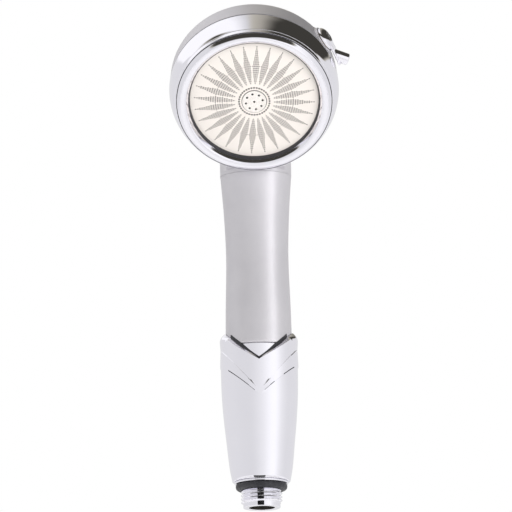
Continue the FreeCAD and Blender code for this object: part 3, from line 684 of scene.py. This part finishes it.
def dome_distance(p):
    """Distance to the head's back: a slightly tapered band and a shallow ball, rounded together."""
    right, up, height = from_head(p)
    radius = np.hypot(right, up)
    side = radius - (DOME_BAND_R + DOME_BAND_TAPER * (height + 12.5))
    ball = np.hypot(radius, height - DOME_BALL_HEIGHT) - DOME_BALL_R
    corner = 6.0
    u = np.maximum(side + corner, 0)
    v = np.maximum(ball + corner, 0)
    solid = np.hypot(u, v) - corner + np.minimum(np.maximum(side, ball) + corner, 0)
    return np.maximum(solid, height - DOME_FRONT)


def shell_distance(p):
    """The neck and the dome joined by a fillet of fixed radius."""
    neck = neck_distance(p)
    dome = dome_distance(p)
    inside = np.hypot(np.maximum(SHELL_FILLET - neck, 0), np.maximum(SHELL_FILLET - dome, 0))
    return np.maximum(SHELL_FILLET, np.minimum(neck, dome)) - inside


def shell_skin(offset, rows, columns, low_z):
    """Grid on the surface where the shell's distance equals -offset.

    Each row is a plane that holds the bend's pivot line. In it, rays leave a centre at even angles,
    and each ray's point is found by stepping out to the surface and then halving the last step."""
    fan = np.radians(np.linspace(0, SHELL_SWEEP - offset, rows))
    middle = np.interp(np.degrees(fan), [0, 48, 75, 90, 105, 112], [40, 40, 44, 50, 62, 69])
    ray = even_turn(columns)
    radial = np.stack([0 * fan, np.cos(fan), np.sin(fan)], -1)[:, None]
    centre = np.array([0, PIVOT_Y, PIVOT_Z]) + middle[:, None, None] * radial
    way = np.cos(ray)[None, :, None] * radial + np.sin(ray)[None, :, None] * X_AXIS

    def outside(length):
        return shell_distance(centre + way * length)[..., None] + offset > 0

    reach = np.zeros(way.shape[:2] + (1,))
    found = np.zeros(reach.shape, bool)
    for _ in range(60):
        found = found | outside(reach + SHELL_STRIDE)
        reach = np.where(found, reach, reach + SHELL_STRIDE)
    far = reach + SHELL_STRIDE
    for _ in range(22):
        half = (reach + far) / 2
        beyond = outside(half)
        far = np.where(beyond, half, far)
        reach = np.where(beyond, reach, half)
    skin = centre + way * reach
    stub_r = NECK_R - offset
    stub = np.stack([stub_r * np.sin(ray), stub_r * np.cos(ray), 0 * ray], -1)
    foot = np.stack([stub + [0, 0, z] for z in np.linspace(low_z, PIVOT_Z - 0.6, 4)])
    close_low = np.zeros((1, columns, 3)) + [0, 0, low_z]
    close_high = np.zeros((1, columns, 3)) + skin[-1].mean(0)
    points = np.concatenate([close_low, foot, skin, close_high])
    return points, grid_quads(len(points), columns)


def loose_object(name, points, quads):
    """Object for a cut, which rides on nothing and is gone afterwards."""
    mesh = surface(name, points, quads)
    tidy_mesh(mesh, 180)
    return linked(name, mesh)


def carved(solid, cutters, slot):
    """Mesh of a solid with cutters taken away, one after the other, in a slot's finish."""
    for cutter in cutters:
        modifier = solid.modifiers.new("cut", "BOOLEAN")
        modifier.operation = "DIFFERENCE"
        modifier.solver = "EXACT"
        modifier.object = cutter
        bpy.context.view_layer.update()
        evaluated = solid.evaluated_get(bpy.context.evaluated_depsgraph_get())
        mesh = bpy.data.meshes.new_from_object(evaluated)
        solid.modifiers.clear()
        solid.data = mesh
        bpy.data.objects.remove(cutter)
    mesh = solid.data
    bpy.data.objects.remove(solid)
    mesh.materials.clear()
    mesh.materials.append(SLOT_FINISH[slot])
    return mesh


def drum_space():
    """Room for the drum and the face ring, turned about the head's axis."""
    line = np.array([(0, -0.1), (43.0, -0.1), (43.0, 4.8), (40.3, 12.3), (38.1, 16.3), (38.1, 26),
                     (0, 26)])
    return turned_disc(line, 288, in_head)


def back_shell():
    """Outer skin less the inner one and the drum's room, with a turned spigot inside its neck."""
    outer = loose_object("shell_outer", *shell_skin(0.0, 230, 256, 169.7))
    inner = loose_object("shell_inner", *shell_skin(SHELL_WALL, 120, 128, 160.0))
    room = loose_object("drum_space", *drum_space())
    mesh = carved(outer, [inner, room], "satin_metal")
    spigot = surface("spigot", *turned_ring(rounded([
        (11.0, 158.7), (13.5, 158.7), (13.5, 171.0), (16.2, 171.6), (16.2, 172.2),
        (11.0, 172.2)], 0.2), 128))
    work = bmesh.new()
    work.from_mesh(mesh)
    work.from_mesh(spigot)
    bmesh.ops.remove_doubles(work, verts=work.verts, dist=MERGE_DISTANCE)
    work.to_mesh(mesh)
    work.free()
    bpy.data.meshes.remove(spigot)
    smooth_between(mesh, 42)
    mounted("head_back_shell_satin", mesh, "shower", "head_back_shell")


# ---- Front of the head ----
def drum_side():
    """Turned line: a bead at the seam, a side that closes in towards the front, and the inside."""
    bead = [(42.1, 0.6), (42.4, 0.64), (42.6, 0.78), (42.69, 1.02)]
    side = through([(42.7, 1.4), (42.25, 5.4), (40.95, 10.0), (40.1, 11.9)], 24)
    inner = [(39.98, 12.0), (38.2, 12.0), (38.2, 4.5), (0.0, 4.5), (0.0, 2.0), (38.2, 2.0),
             (38.2, 0.6)]
    line = np.concatenate([bead, side, inner])
    turned_piece("front_drum_chrome", line, 288, "chrome", "front_housing", place=in_head)


def face_ring():
    """Turned line: a steep bevel off the drum's edge, a shadow gap, and a lip that slopes up to a nearly flat top
    before it slopes down to the plate. The gap's floor is a black ring of painted shade."""
    bevel = through([(40.0, 12.12), (39.78, 12.6), (39.58, 13.08), (39.4, 13.5)], 10)
    gap = [(39.34, 13.56), (39.25, 13.54), (39.22, 13.4), (39.2, 12.7), (38.85, 12.7),
           (38.85, 13.75)]
    lip = through([(38.83, 13.8), (38.5, 14.2), (38.0, 14.82), (37.5, 15.42), (37.15, 15.75),
                   (36.7, 15.92), (35.9, 15.95), (35.0, 15.75), (34.3, 15.3), (33.9, 14.8),
                   (33.2, 13.8), (32.75, 13.1), (32.6, 12.5)], 60)
    inner = [(32.56, 11.55), (36.9, 11.45), (36.9, 9.1), (38.1, 9.1), (38.1, 12.12)]
    line = np.concatenate([bevel, gap, lip, inner])
    turned_piece("face_ring_chrome", line, 320, "chrome", "face_ring", 34, in_head)
    # The black ring in the gap is painted shade.
    gap_shade = np.array([(39.17, 12.75), (39.17, 13.3), (38.88, 13.3), (38.88, 12.75)])
    turned_piece("face_ring_gap_liner", gap_shade, 320, "black_rubber", "face_ring", place=in_head)


PETALS = 28
PETAL_TURN = math.radians(9.36)
PETAL_IN_R = 9.6
PETAL_OUT_R = 30.2
PETAL_DEPTH = 0.05
PLATE_EDGE_R = 33.75
PLATE_HEM_R = 33.6
PLATE_TOP = 13.7
PLATE_DROP = 2.4  # how much lower the hem lies than the middle


def plate_height(r):
    """Height of the plate's front over its radius: a shallow dome that meets a flat hem."""
    return PLATE_TOP - PLATE_DROP * (np.minimum(r, PLATE_HEM_R) / PLATE_HEM_R) ** 2


def petal_half_width(r):
    """Half the width of a spindle-shaped petal field over the radius."""
    radii = [PETAL_IN_R, 10.6, 13.9, 16.5, 19.0, 20.4, 22.7, 26.0, 29.4, PETAL_OUT_R]
    return np.interp(r, radii, [0.05, 0.32, 0.85, 1.3, 1.66, 1.62, 1.2, 0.68, 0.3, 0.05])


def mark_petals(mesh, shares):
    """Keeps each vertex's share of petal field, which the plate's finish reads."""
    attribute = mesh.attributes.new("petal", "FLOAT", "POINT")
    attribute.data.foreach_set("value", shares.astype(np.float32))


def vertices_from_head(mesh):
    """Each vertex by its way right, up the face and towards the spray from the head's centre."""
    places = np.empty(len(mesh.vertices) * 3, np.float32)
    mesh.vertices.foreach_get("co", places)
    return from_head(places.reshape(-1, 3) / MM)


def spray_plate():
    """Plate over radius and angle, with columns that follow the edges of the petal fields.

    Between two petals' middles the columns lie at fixed shares of the petal's half-width or of the
    rest, and the field is let into the surface by a few hundredths of a millimetre."""
    radii = np.concatenate([[4.8, 4.8, 5.2], np.linspace(6.0, PETAL_IN_R, 8),
                            np.linspace(9.9, PETAL_OUT_R, 62), np.linspace(30.8, PLATE_EDGE_R, 7),
                            [36.8, 36.8, 33.0, 4.8]])
    heights = plate_height(radii)
    heights[0] = 12.5
    heights[-4:] = [11.3, 10.1, 10.1, 12.5]
    half = petal_half_width(radii) / np.maximum(radii, 1)
    shares = [(-1, 0), (-0.75, 0), (-0.4, 0), (0, 0), (0.4, 0), (0.75, 0), (1, 0), (1, 0.07),
              (1, 0.3), (1, 0.7), (1, 0.93)]
    sector = TURN / PETALS
    inside, outside = np.array(shares).T
    offset = half[:, None] * inside + (sector - 2 * half[:, None]) * outside
    start = PETAL_TURN + sector * np.arange(PETALS)
    angle = (start[None, :, None] + offset[:, None, :]).reshape(len(radii), -1)
    on_petal = np.tile((outside == 0) & (np.abs(inside) < 1), PETALS)
    on_front = (half > 0.004) & (radii > 9.8) & (radii < 30.1) & (heights > 11.35)
    z = heights[:, None] - PETAL_DEPTH * on_front[:, None] * on_petal
    points = about_z(radii[:, None], angle, z)
    quads = grid_quads(len(radii), angle.shape[1], close_rows=True)
    piece = new_piece("spray_plate_cream", in_head(points), quads, "shower", "spray_plate",
                      "spray_plate")
    right, up, height = vertices_from_head(piece.data)
    r = np.hypot(right, up)
    off = (np.arctan2(up, right) - PETAL_TURN + sector / 2) % sector - sector / 2
    inward = petal_half_width(r) - np.abs(off) * r
    mark = smooth_step(-0.02, 0.22, inward)
    mark_petals(piece.data, mark * (r > PETAL_IN_R) * (r < 30.3) * (height > 11.0))


def nozzle_gap():
    """Turned ring of painted shade round the nozzle, where it passes through the plate."""
    z = plate_height(6.2)
    line = np.array([(6.02, z - 0.3), (6.4, z - 0.3), (6.4, z + 0.03), (6.3, z + 0.05),
                     (6.02, z + 0.05)])
    ring = turned_piece("nozzle_gap_ring", line, 144, "spray_plate", "spray_plate", place=in_head)
    # It takes the dark finish of the holes: painted shade in the gap.
    ring.data.materials[0] = HOLE_SHADE


def lip_painted_shade():
    """Black turned ring that lines the lip's inner slope down to the plate: painted shade and dark reflection."""
    line = np.array([(32.28, 11.3), (32.3, 11.52), (32.4, 11.8), (32.45, 12.5), (32.6, 13.08),
                     (32.92, 13.62), (33.07, 13.78), (33.3, 13.7), (33.1, 13.1), (32.9, 12.4),
                     (32.85, 11.3)])
    turned_piece("lip_seal_ring", line, 320, "black_rubber", "face_ring", place=in_head)


HOLE_R = 0.3
HOLE_PITCH = 0.8
HOLE_ROW_STEP = 1.16
RING_HOLES = 36
RING_HOLE_R = 0.5
RING_R = 7.68


def hole_places():
    """Angle, radius and size of each hole: rows across each petal, and a ring of larger ones."""
    rows = []
    for r in np.arange(10.3, PETAL_OUT_R, HOLE_ROW_STEP):
        count = 1 + int(2 * petal_half_width(r) / HOLE_PITCH)
        offsets = (np.arange(count) - (count - 1) / 2) * HOLE_PITCH / r
        angle = (PETAL_TURN + TURN / PETALS * np.arange(PETALS)[:, None] + offsets).ravel()
        rows.append(np.stack([angle, 0 * angle + r, 0 * angle + HOLE_R], 1))
    ring = np.radians(90 + 360 / RING_HOLES * np.arange(RING_HOLES))
    rows.append(np.stack([ring, 0 * ring + RING_R, 0 * ring + RING_HOLE_R], 1))
    return np.concatenate(rows)


def spray_holes():
    """One small eight-sided collar at each place: a slope up, a slope down and a flat floor in painted shade for
    the hole.
    """
    sides = 8
    a = even_turn(sides)
    shape_r = np.array([1.3, 1.12, 1.0, 0.0])
    shape_z = np.array([-0.03, 0.05, 0.015, 0.015])
    places = hole_places()
    angle, r, size = (places[:, k, None, None] for k in range(3))
    across = shape_r[None, :, None] * size * np.cos(a)
    out = r + shape_r[None, :, None] * size * np.sin(a)
    x = out * np.cos(angle) - across * np.sin(angle)
    y = out * np.sin(angle) + across * np.cos(angle)
    z = plate_height(np.hypot(x, y)) + shape_z[None, :, None] + 0 * across
    first = len(shape_r) * sides * np.arange(len(places))[:, None, None]
    quads = (grid_quads(len(shape_r), sides)[None] + first).reshape(-1, 4)
    piece = new_piece("spray_hole_collars", in_head(np.stack([x, y, z], -1)), quads, "shower",
                      "spray_plate", "spray_plate", 180, recalculate=False)
    right, up, _ = vertices_from_head(piece.data)
    mark_petals(piece.data, np.hypot(right, up) > 9)
    # The floors, the only three-sided faces, get the dark finish: painted shade for the holes.
    corners = np.empty(len(piece.data.polygons), int)
    piece.data.polygons.foreach_get("loop_total", corners)
    second_finish(piece.data, HOLE_SHADE, corners == 3)


DRILL_R = 0.54
DRILL_CIRCLE_R = 4.3
DRILL_TURN = math.radians(101.2)


def centre_nozzle():
    """Turned disc with a raised rim, pierced by nine holes."""
    crown = plate_height(0.0)
    line = np.array([(0, 12.0), (4.6, 12.0), (4.7, crown - 0.1), (6.0, crown - 0.13), (6.1, crown),
                     (6.08, crown + 0.34), (5.98, crown + 0.42), (5.62, crown + 0.42),
                     (5.5, crown + 0.36), (5.4, crown + 0.3), (3.0, crown + 0.36),
                     (0, crown + 0.38)])
    solid = loose_object("nozzle_disc", *turned_disc(line, 144, in_head))
    drill = np.array([(0, 13.0), (DRILL_R, 13.0), (DRILL_R, crown + 0.25), (0.66, crown + 0.6),
                      (0, crown + 0.6)])
    circle = about_z(DRILL_CIRCLE_R, DRILL_TURN + even_turn(8), 0)
    centres = np.concatenate([np.zeros((1, 3)), circle])
    grids = [turned_disc(drill, 24, lambda points: in_head(points + centre)) for centre in centres]
    drills = loose_object("drills", *joined(grids))
    mesh = carved(solid, [drills], "grey_nozzle")
    smooth_between(mesh, 35)
    # The walls of the nine holes get the dark finish: painted shade inside them.
    right, up, height = from_head(face_centres(mesh))
    near = np.min([np.hypot(right - x, up - y) for x, y, _ in centres], axis=0)
    second_finish(mesh, HOLE_SHADE, (near < 0.6) & (height > 12.9) & (height < crown + 0.3))
    mounted("centre_nozzle_disc", mesh, "shower", "centre_nozzle")


# ---- Lever ----
ARM_REACH = 12.3
ARM_LOW_R = 43.7
ARM_TOP_R = 44.9
ARM_HALF = 4.0
PIN_LEAN = math.radians(56)
PIN_R = 3.0
PIN_SEAT = 0.6  # how deep the pin's foot sits in the arm
HUB_LOW = 42.92
HUB_TOP = 45.6


def selector_lever():
    """A domed hub and an arm: rings that shrink from a rounded slot outline on to its middle line.

    The arm's height follows a cylinder about the head's axis: height = sqrt(radius^2 - along^2)."""
    dome = through([(6.0, 43.25), (5.75, 43.9), (4.95, 44.7), (3.9, 45.3), (2.95, 45.56)], 20)
    recess = [(2.75, HUB_TOP), (2.7, 45.5), (2.7, 44.65), (1.6, 44.65), (1.6, 43.3), (5.1, 43.3)]
    skirt = [(5.1, HUB_LOW), (5.9, HUB_LOW), (6.0, 43.0)]
    hub = turned_ring(np.concatenate([skirt, dome, recess]), 96)
    half_turn = np.pi * np.arange(25) / 24 - np.pi / 2
    insets = np.array([4.0, 3.0, 1.5, 0.3, 0.08, 0.0, 0.0, 0.08, 0.3, 1.5, 3.0, 4.0])
    levels = np.array([0.0, 0, 0, 0, 0.08, 0.3, 0.9, 1.12, 1.2, 1.2, 1.2, 1.2])
    rings = []
    for inset, level in zip(insets, levels):
        width = ARM_HALF - inset
        end = np.stack([ARM_REACH + width * np.cos(half_turn), width * np.sin(half_turn)], 1)
        start = np.stack([3.0 - width * np.cos(half_turn), -width * np.sin(half_turn)], 1)
        flat = np.concatenate([end, start])
        height = np.sqrt((ARM_LOW_R + level) ** 2 - flat[:, 0] ** 2)
        rings.append(np.concatenate([flat, height[:, None]], 1))
    arm = np.stack(rings)
    points, quads = joined([hub, (arm, grid_quads(len(rings), arm.shape[1]))])
    new_piece("selector_lever_chrome", in_dial(points), quads, "selector", "chrome",
              "selector_lever")


def lever_pin():
    """Turned pin with a bevelled end, leaning outwards from the arm's far end.

    The foot follows the arm: along the pin, each foot point p + t * way has
    t = -b + sqrt(b^2 - c), with b = p . way and c = |p|^2 - seat^2 across the head's axis, so it
    lies at the seat's radius."""
    foot = np.array([ARM_REACH, 0, math.sqrt(ARM_TOP_R ** 2 - ARM_REACH ** 2)])
    way = np.array([math.sin(PIN_LEAN), 0, math.cos(PIN_LEAN)])
    side = np.array([math.cos(PIN_LEAN), 0, -math.sin(PIN_LEAN)])
    line = np.array([(0, 0), (1.5, 0), (2.9, 0), (PIN_R, 0), (PIN_R, 4.4), (2.97, 4.55),
                     (2.88, 4.68), (2.65, 4.93), (2.5, 5.0), (0, 5.0)])
    points = placed(turned(line, 72), foot, side, np.cross(way, side), way)
    low = points[:4]
    across = low * [1, 0, 1]
    b = across @ way
    c = (across ** 2).sum(-1) - (ARM_TOP_R - PIN_SEAT) ** 2
    points[:4] = low + (np.sqrt(b ** 2 - c) - b)[..., None] * way
    new_piece("lever_pin_chrome", in_dial(points), grid_quads(len(line), 72), "selector", "chrome",
              "lever_pin")


def dial_collar():
    """Turned collar on the back shell, with a hollow flare at its foot."""
    flare = through([(8.6, 40.4), (7.6, 41.1), (6.95, 41.9), (6.8, 42.4)], 10)
    top = [(6.7, 42.55), (6.5, 42.6), (5.5, 42.6), (5.35, 42.5), (5.35, 40.4)]
    line = np.concatenate([flare, top])
    turned_piece("dial_collar_satin", line, 96, "satin_metal", "head_back_shell", place=in_dial)


inlet_nipple()
inlet_rubber_ring()
valve_spring()
lower_sleeve()
coupling_neck()
handle_tube()
back_shell()
drum_side()
face_ring()
spray_plate()
spray_holes()
nozzle_gap()
lip_painted_shade()
centre_nozzle()
selector_lever()
lever_pin()
dial_collar()

# The small CAD pieces keep their meshes, shaded smooth between their sharp edges.
for cad_object in frame["nodes"].values():
    smooth_between(cad_object.data, 35)


# ---- Floor, light and camera, in metres ----
FLOOR_Z = -3.2
FLOOR_R = 6.0
CAMERA_DISTANCE = 5.0
VIEW_WIDTH = 0.2575
VIEW_MIDDLE = (-0.0030, 0.1268)  # right of the inlet and above it, in the camera's own directions
LEAN = math.radians(1.08)
VIEW_RISE = math.radians(11)
HEAD_SATIN = ("head_back_shell_satin", "dial_collar_satin")


def floor():
    mesh = bpy.data.meshes.new("studio_floor")
    rim = about_z(FLOOR_R, even_turn(128), FLOOR_Z)
    mesh.from_pydata(rim.tolist(), [], [list(range(len(rim)))])
    f = Finish("studio_floor_pale", Roughness=0.9)
    f.colour(f.noise(3, 3), (0.86, 0.86, 0.865), (0.9, 0.9, 0.905))
    mesh.materials.append(f.material)
    linked("studio_floor", mesh)


def black_card():
    """Small flag before the inlet, seen only in the plating's reflections."""
    left, right, y, low, high = -0.0086, 0.0045, -0.022, -0.03, 0.0112
    mesh = bpy.data.meshes.new("black_card")
    mesh.from_pydata([(left, y, low), (right, y, low), (right, y, high), (left, y, high)], [],
                     [(0, 1, 2, 3)])
    f = Finish("card_black", Roughness=1.0, Base_Color=(0.01, 0.01, 0.01, 1))
    mesh.materials.append(f.material)
    card = linked("black_card", mesh)
    card.visible_camera = False
    card.visible_diffuse = False
    card.visible_shadow = False


def studio_sky():
    """White backdrop to the camera; what the plating mirrors is a plain studio by direction."""
    world = bpy.data.worlds.new("studio")
    bpy.context.scene.world = world
    world.use_nodes = True
    world.node_tree.nodes.clear()
    tree = NodeTree(world.node_tree)
    split = tree.nodes.new("ShaderNodeSeparateXYZ")
    tree.links.new(tree.nodes.new("ShaderNodeTexCoord").outputs["Generated"], split.inputs[0])
    x, y, z = split.outputs

    def math_node(kind, a, b):
        node = tree.nodes.new("ShaderNodeMath")
        node.operation = kind
        for index, value in enumerate((a, b)):
            if isinstance(value, (int, float)):
                node.inputs[index].default_value = value
            else:
                tree.links.new(value, node.inputs[index])
        return node.outputs[0]

    def times(a, b):
        return math_node("MULTIPLY", a, b)

    def mixed(factor, a, b):
        return math_node("ADD", times(a, math_node("SUBTRACT", 1.0, factor)), times(b, factor))

    beside = tree.span(x, -0.6, 0.6, 0.76, 0.96)
    level = mixed(tree.span(y, 0.2, -0.8, 0, 1), 0.78, beside)
    box_right = times(tree.span(x, 0.1, 0.75, 0, 1), tree.span(x, 1.0, 0.75, 0, 1))
    box_right = times(box_right, tree.span(y, 0.0, -0.5, 0, 1))
    level = math_node("ADD", level, times(box_right, 0.12))
    overhead = tree.span(x, -0.35, 0.1, 1.05, 0.45)
    dark_front = times(tree.span(y, -0.06, -0.34, 0, 1), tree.span(z, 0.82, 0.70, 0, 1))
    dark = math_node("MAXIMUM", tree.span(x, 0.05, 0.4, 0, 1), dark_front)
    upper = mixed(dark, overhead, 0.05)
    sky = mixed(tree.span(z, 0.345, 0.40, 0, 1), level, upper)
    sky = mixed(tree.span(z, -0.2, -0.42, 0, 1), sky, 0.98)
    sky = mixed(tree.nodes.new("ShaderNodeLightPath").outputs["Is Camera Ray"], sky, 1.0)
    warm, white = (1.0, 0.95, 0.81), (1.0, 1.0, 1.0)
    tint = tree.blend(tree.span(sky, 0.46, 0.74, 0, 1), warm, white)
    background = tree.nodes.new("ShaderNodeBackground")
    tree.links.new(sky, background.inputs["Strength"])
    tree.links.new(tint, background.inputs["Color"])
    output = tree.nodes.new("ShaderNodeOutputWorld")
    tree.links.new(background.outputs[0], output.inputs[0])


def soft_light(name, place, aim, power, width, height=None, takers=()):
    """A disc that isn't mirrored in the object, or a rectangle that only the takers receive."""
    light = bpy.data.lights.new(name, "AREA")
    light.shape = "RECTANGLE" if height else "DISK"
    light.size = width
    light.size_y = height or width
    light.energy = power
    lamp = linked(name, light)
    lamp.location = place
    lamp.rotation_euler = (Vector(aim) - Vector(place)).to_track_quat("-Z", "Y").to_euler()
    lamp.visible_camera = False
    lamp.visible_glossy = bool(takers)
    if takers:
        group = bpy.data.collections.new(name + "_takers")
        for piece_name in takers:
            group.objects.link(bpy.data.objects[piece_name])
        lamp.light_linking.receiver_collection = group


def camera():
    """Looks up at the spray face from 11 degrees below the horizon, leaned a little to one side."""
    lens = bpy.data.cameras.new("view")
    lens.sensor_width = 36.0
    lens.lens = lens.sensor_width * CAMERA_DISTANCE / VIEW_WIDTH
    lens.clip_start = 0.5
    lens.clip_end = 60.0
    forward = np.array([0, math.cos(VIEW_RISE), math.sin(VIEW_RISE)])
    up = np.array([0, -math.sin(VIEW_RISE), math.cos(VIEW_RISE)])
    right_way = math.cos(LEAN) * X_AXIS - math.sin(LEAN) * up
    up_way = math.sin(LEAN) * X_AXIS + math.cos(LEAN) * up
    middle = VIEW_MIDDLE[0] * right_way + VIEW_MIDDLE[1] * up_way
    axes = np.eye(4)
    axes[:3] = np.stack([right_way, up_way, -forward, middle - CAMERA_DISTANCE * forward], 1)
    eye = linked("view", lens)
    eye.matrix_world = Matrix(axes.tolist())
    bpy.context.scene.camera = eye


floor()
black_card()
studio_sky()
soft_light("front_fill", (-0.3, -1.9, -1.3), (0, -0.04, 0.18), power=12, width=1.6)
soft_light("right_key", (1.3, -2.2, 0.3), (0, 0, 0.12), power=22, width=1.2)
soft_light("floor_wash", (0, 0, -1.3), (0, 0, -3.0), power=230, width=12.0)
soft_light("satin_strip", (1.0, -0.72, 0.35), (0, 0, 0.12), power=2.4, width=0.5, height=1.2,
           takers=HEAD_SATIN + ("handle_tube_satin",))
soft_light("satin_top", (-0.25, -0.35, 1.3), (0, 0, 0.12), power=0.3, width=0.9, height=0.9,
           takers=HEAD_SATIN)
camera()
bpy.context.scene.view_settings.view_transform = "Standard"
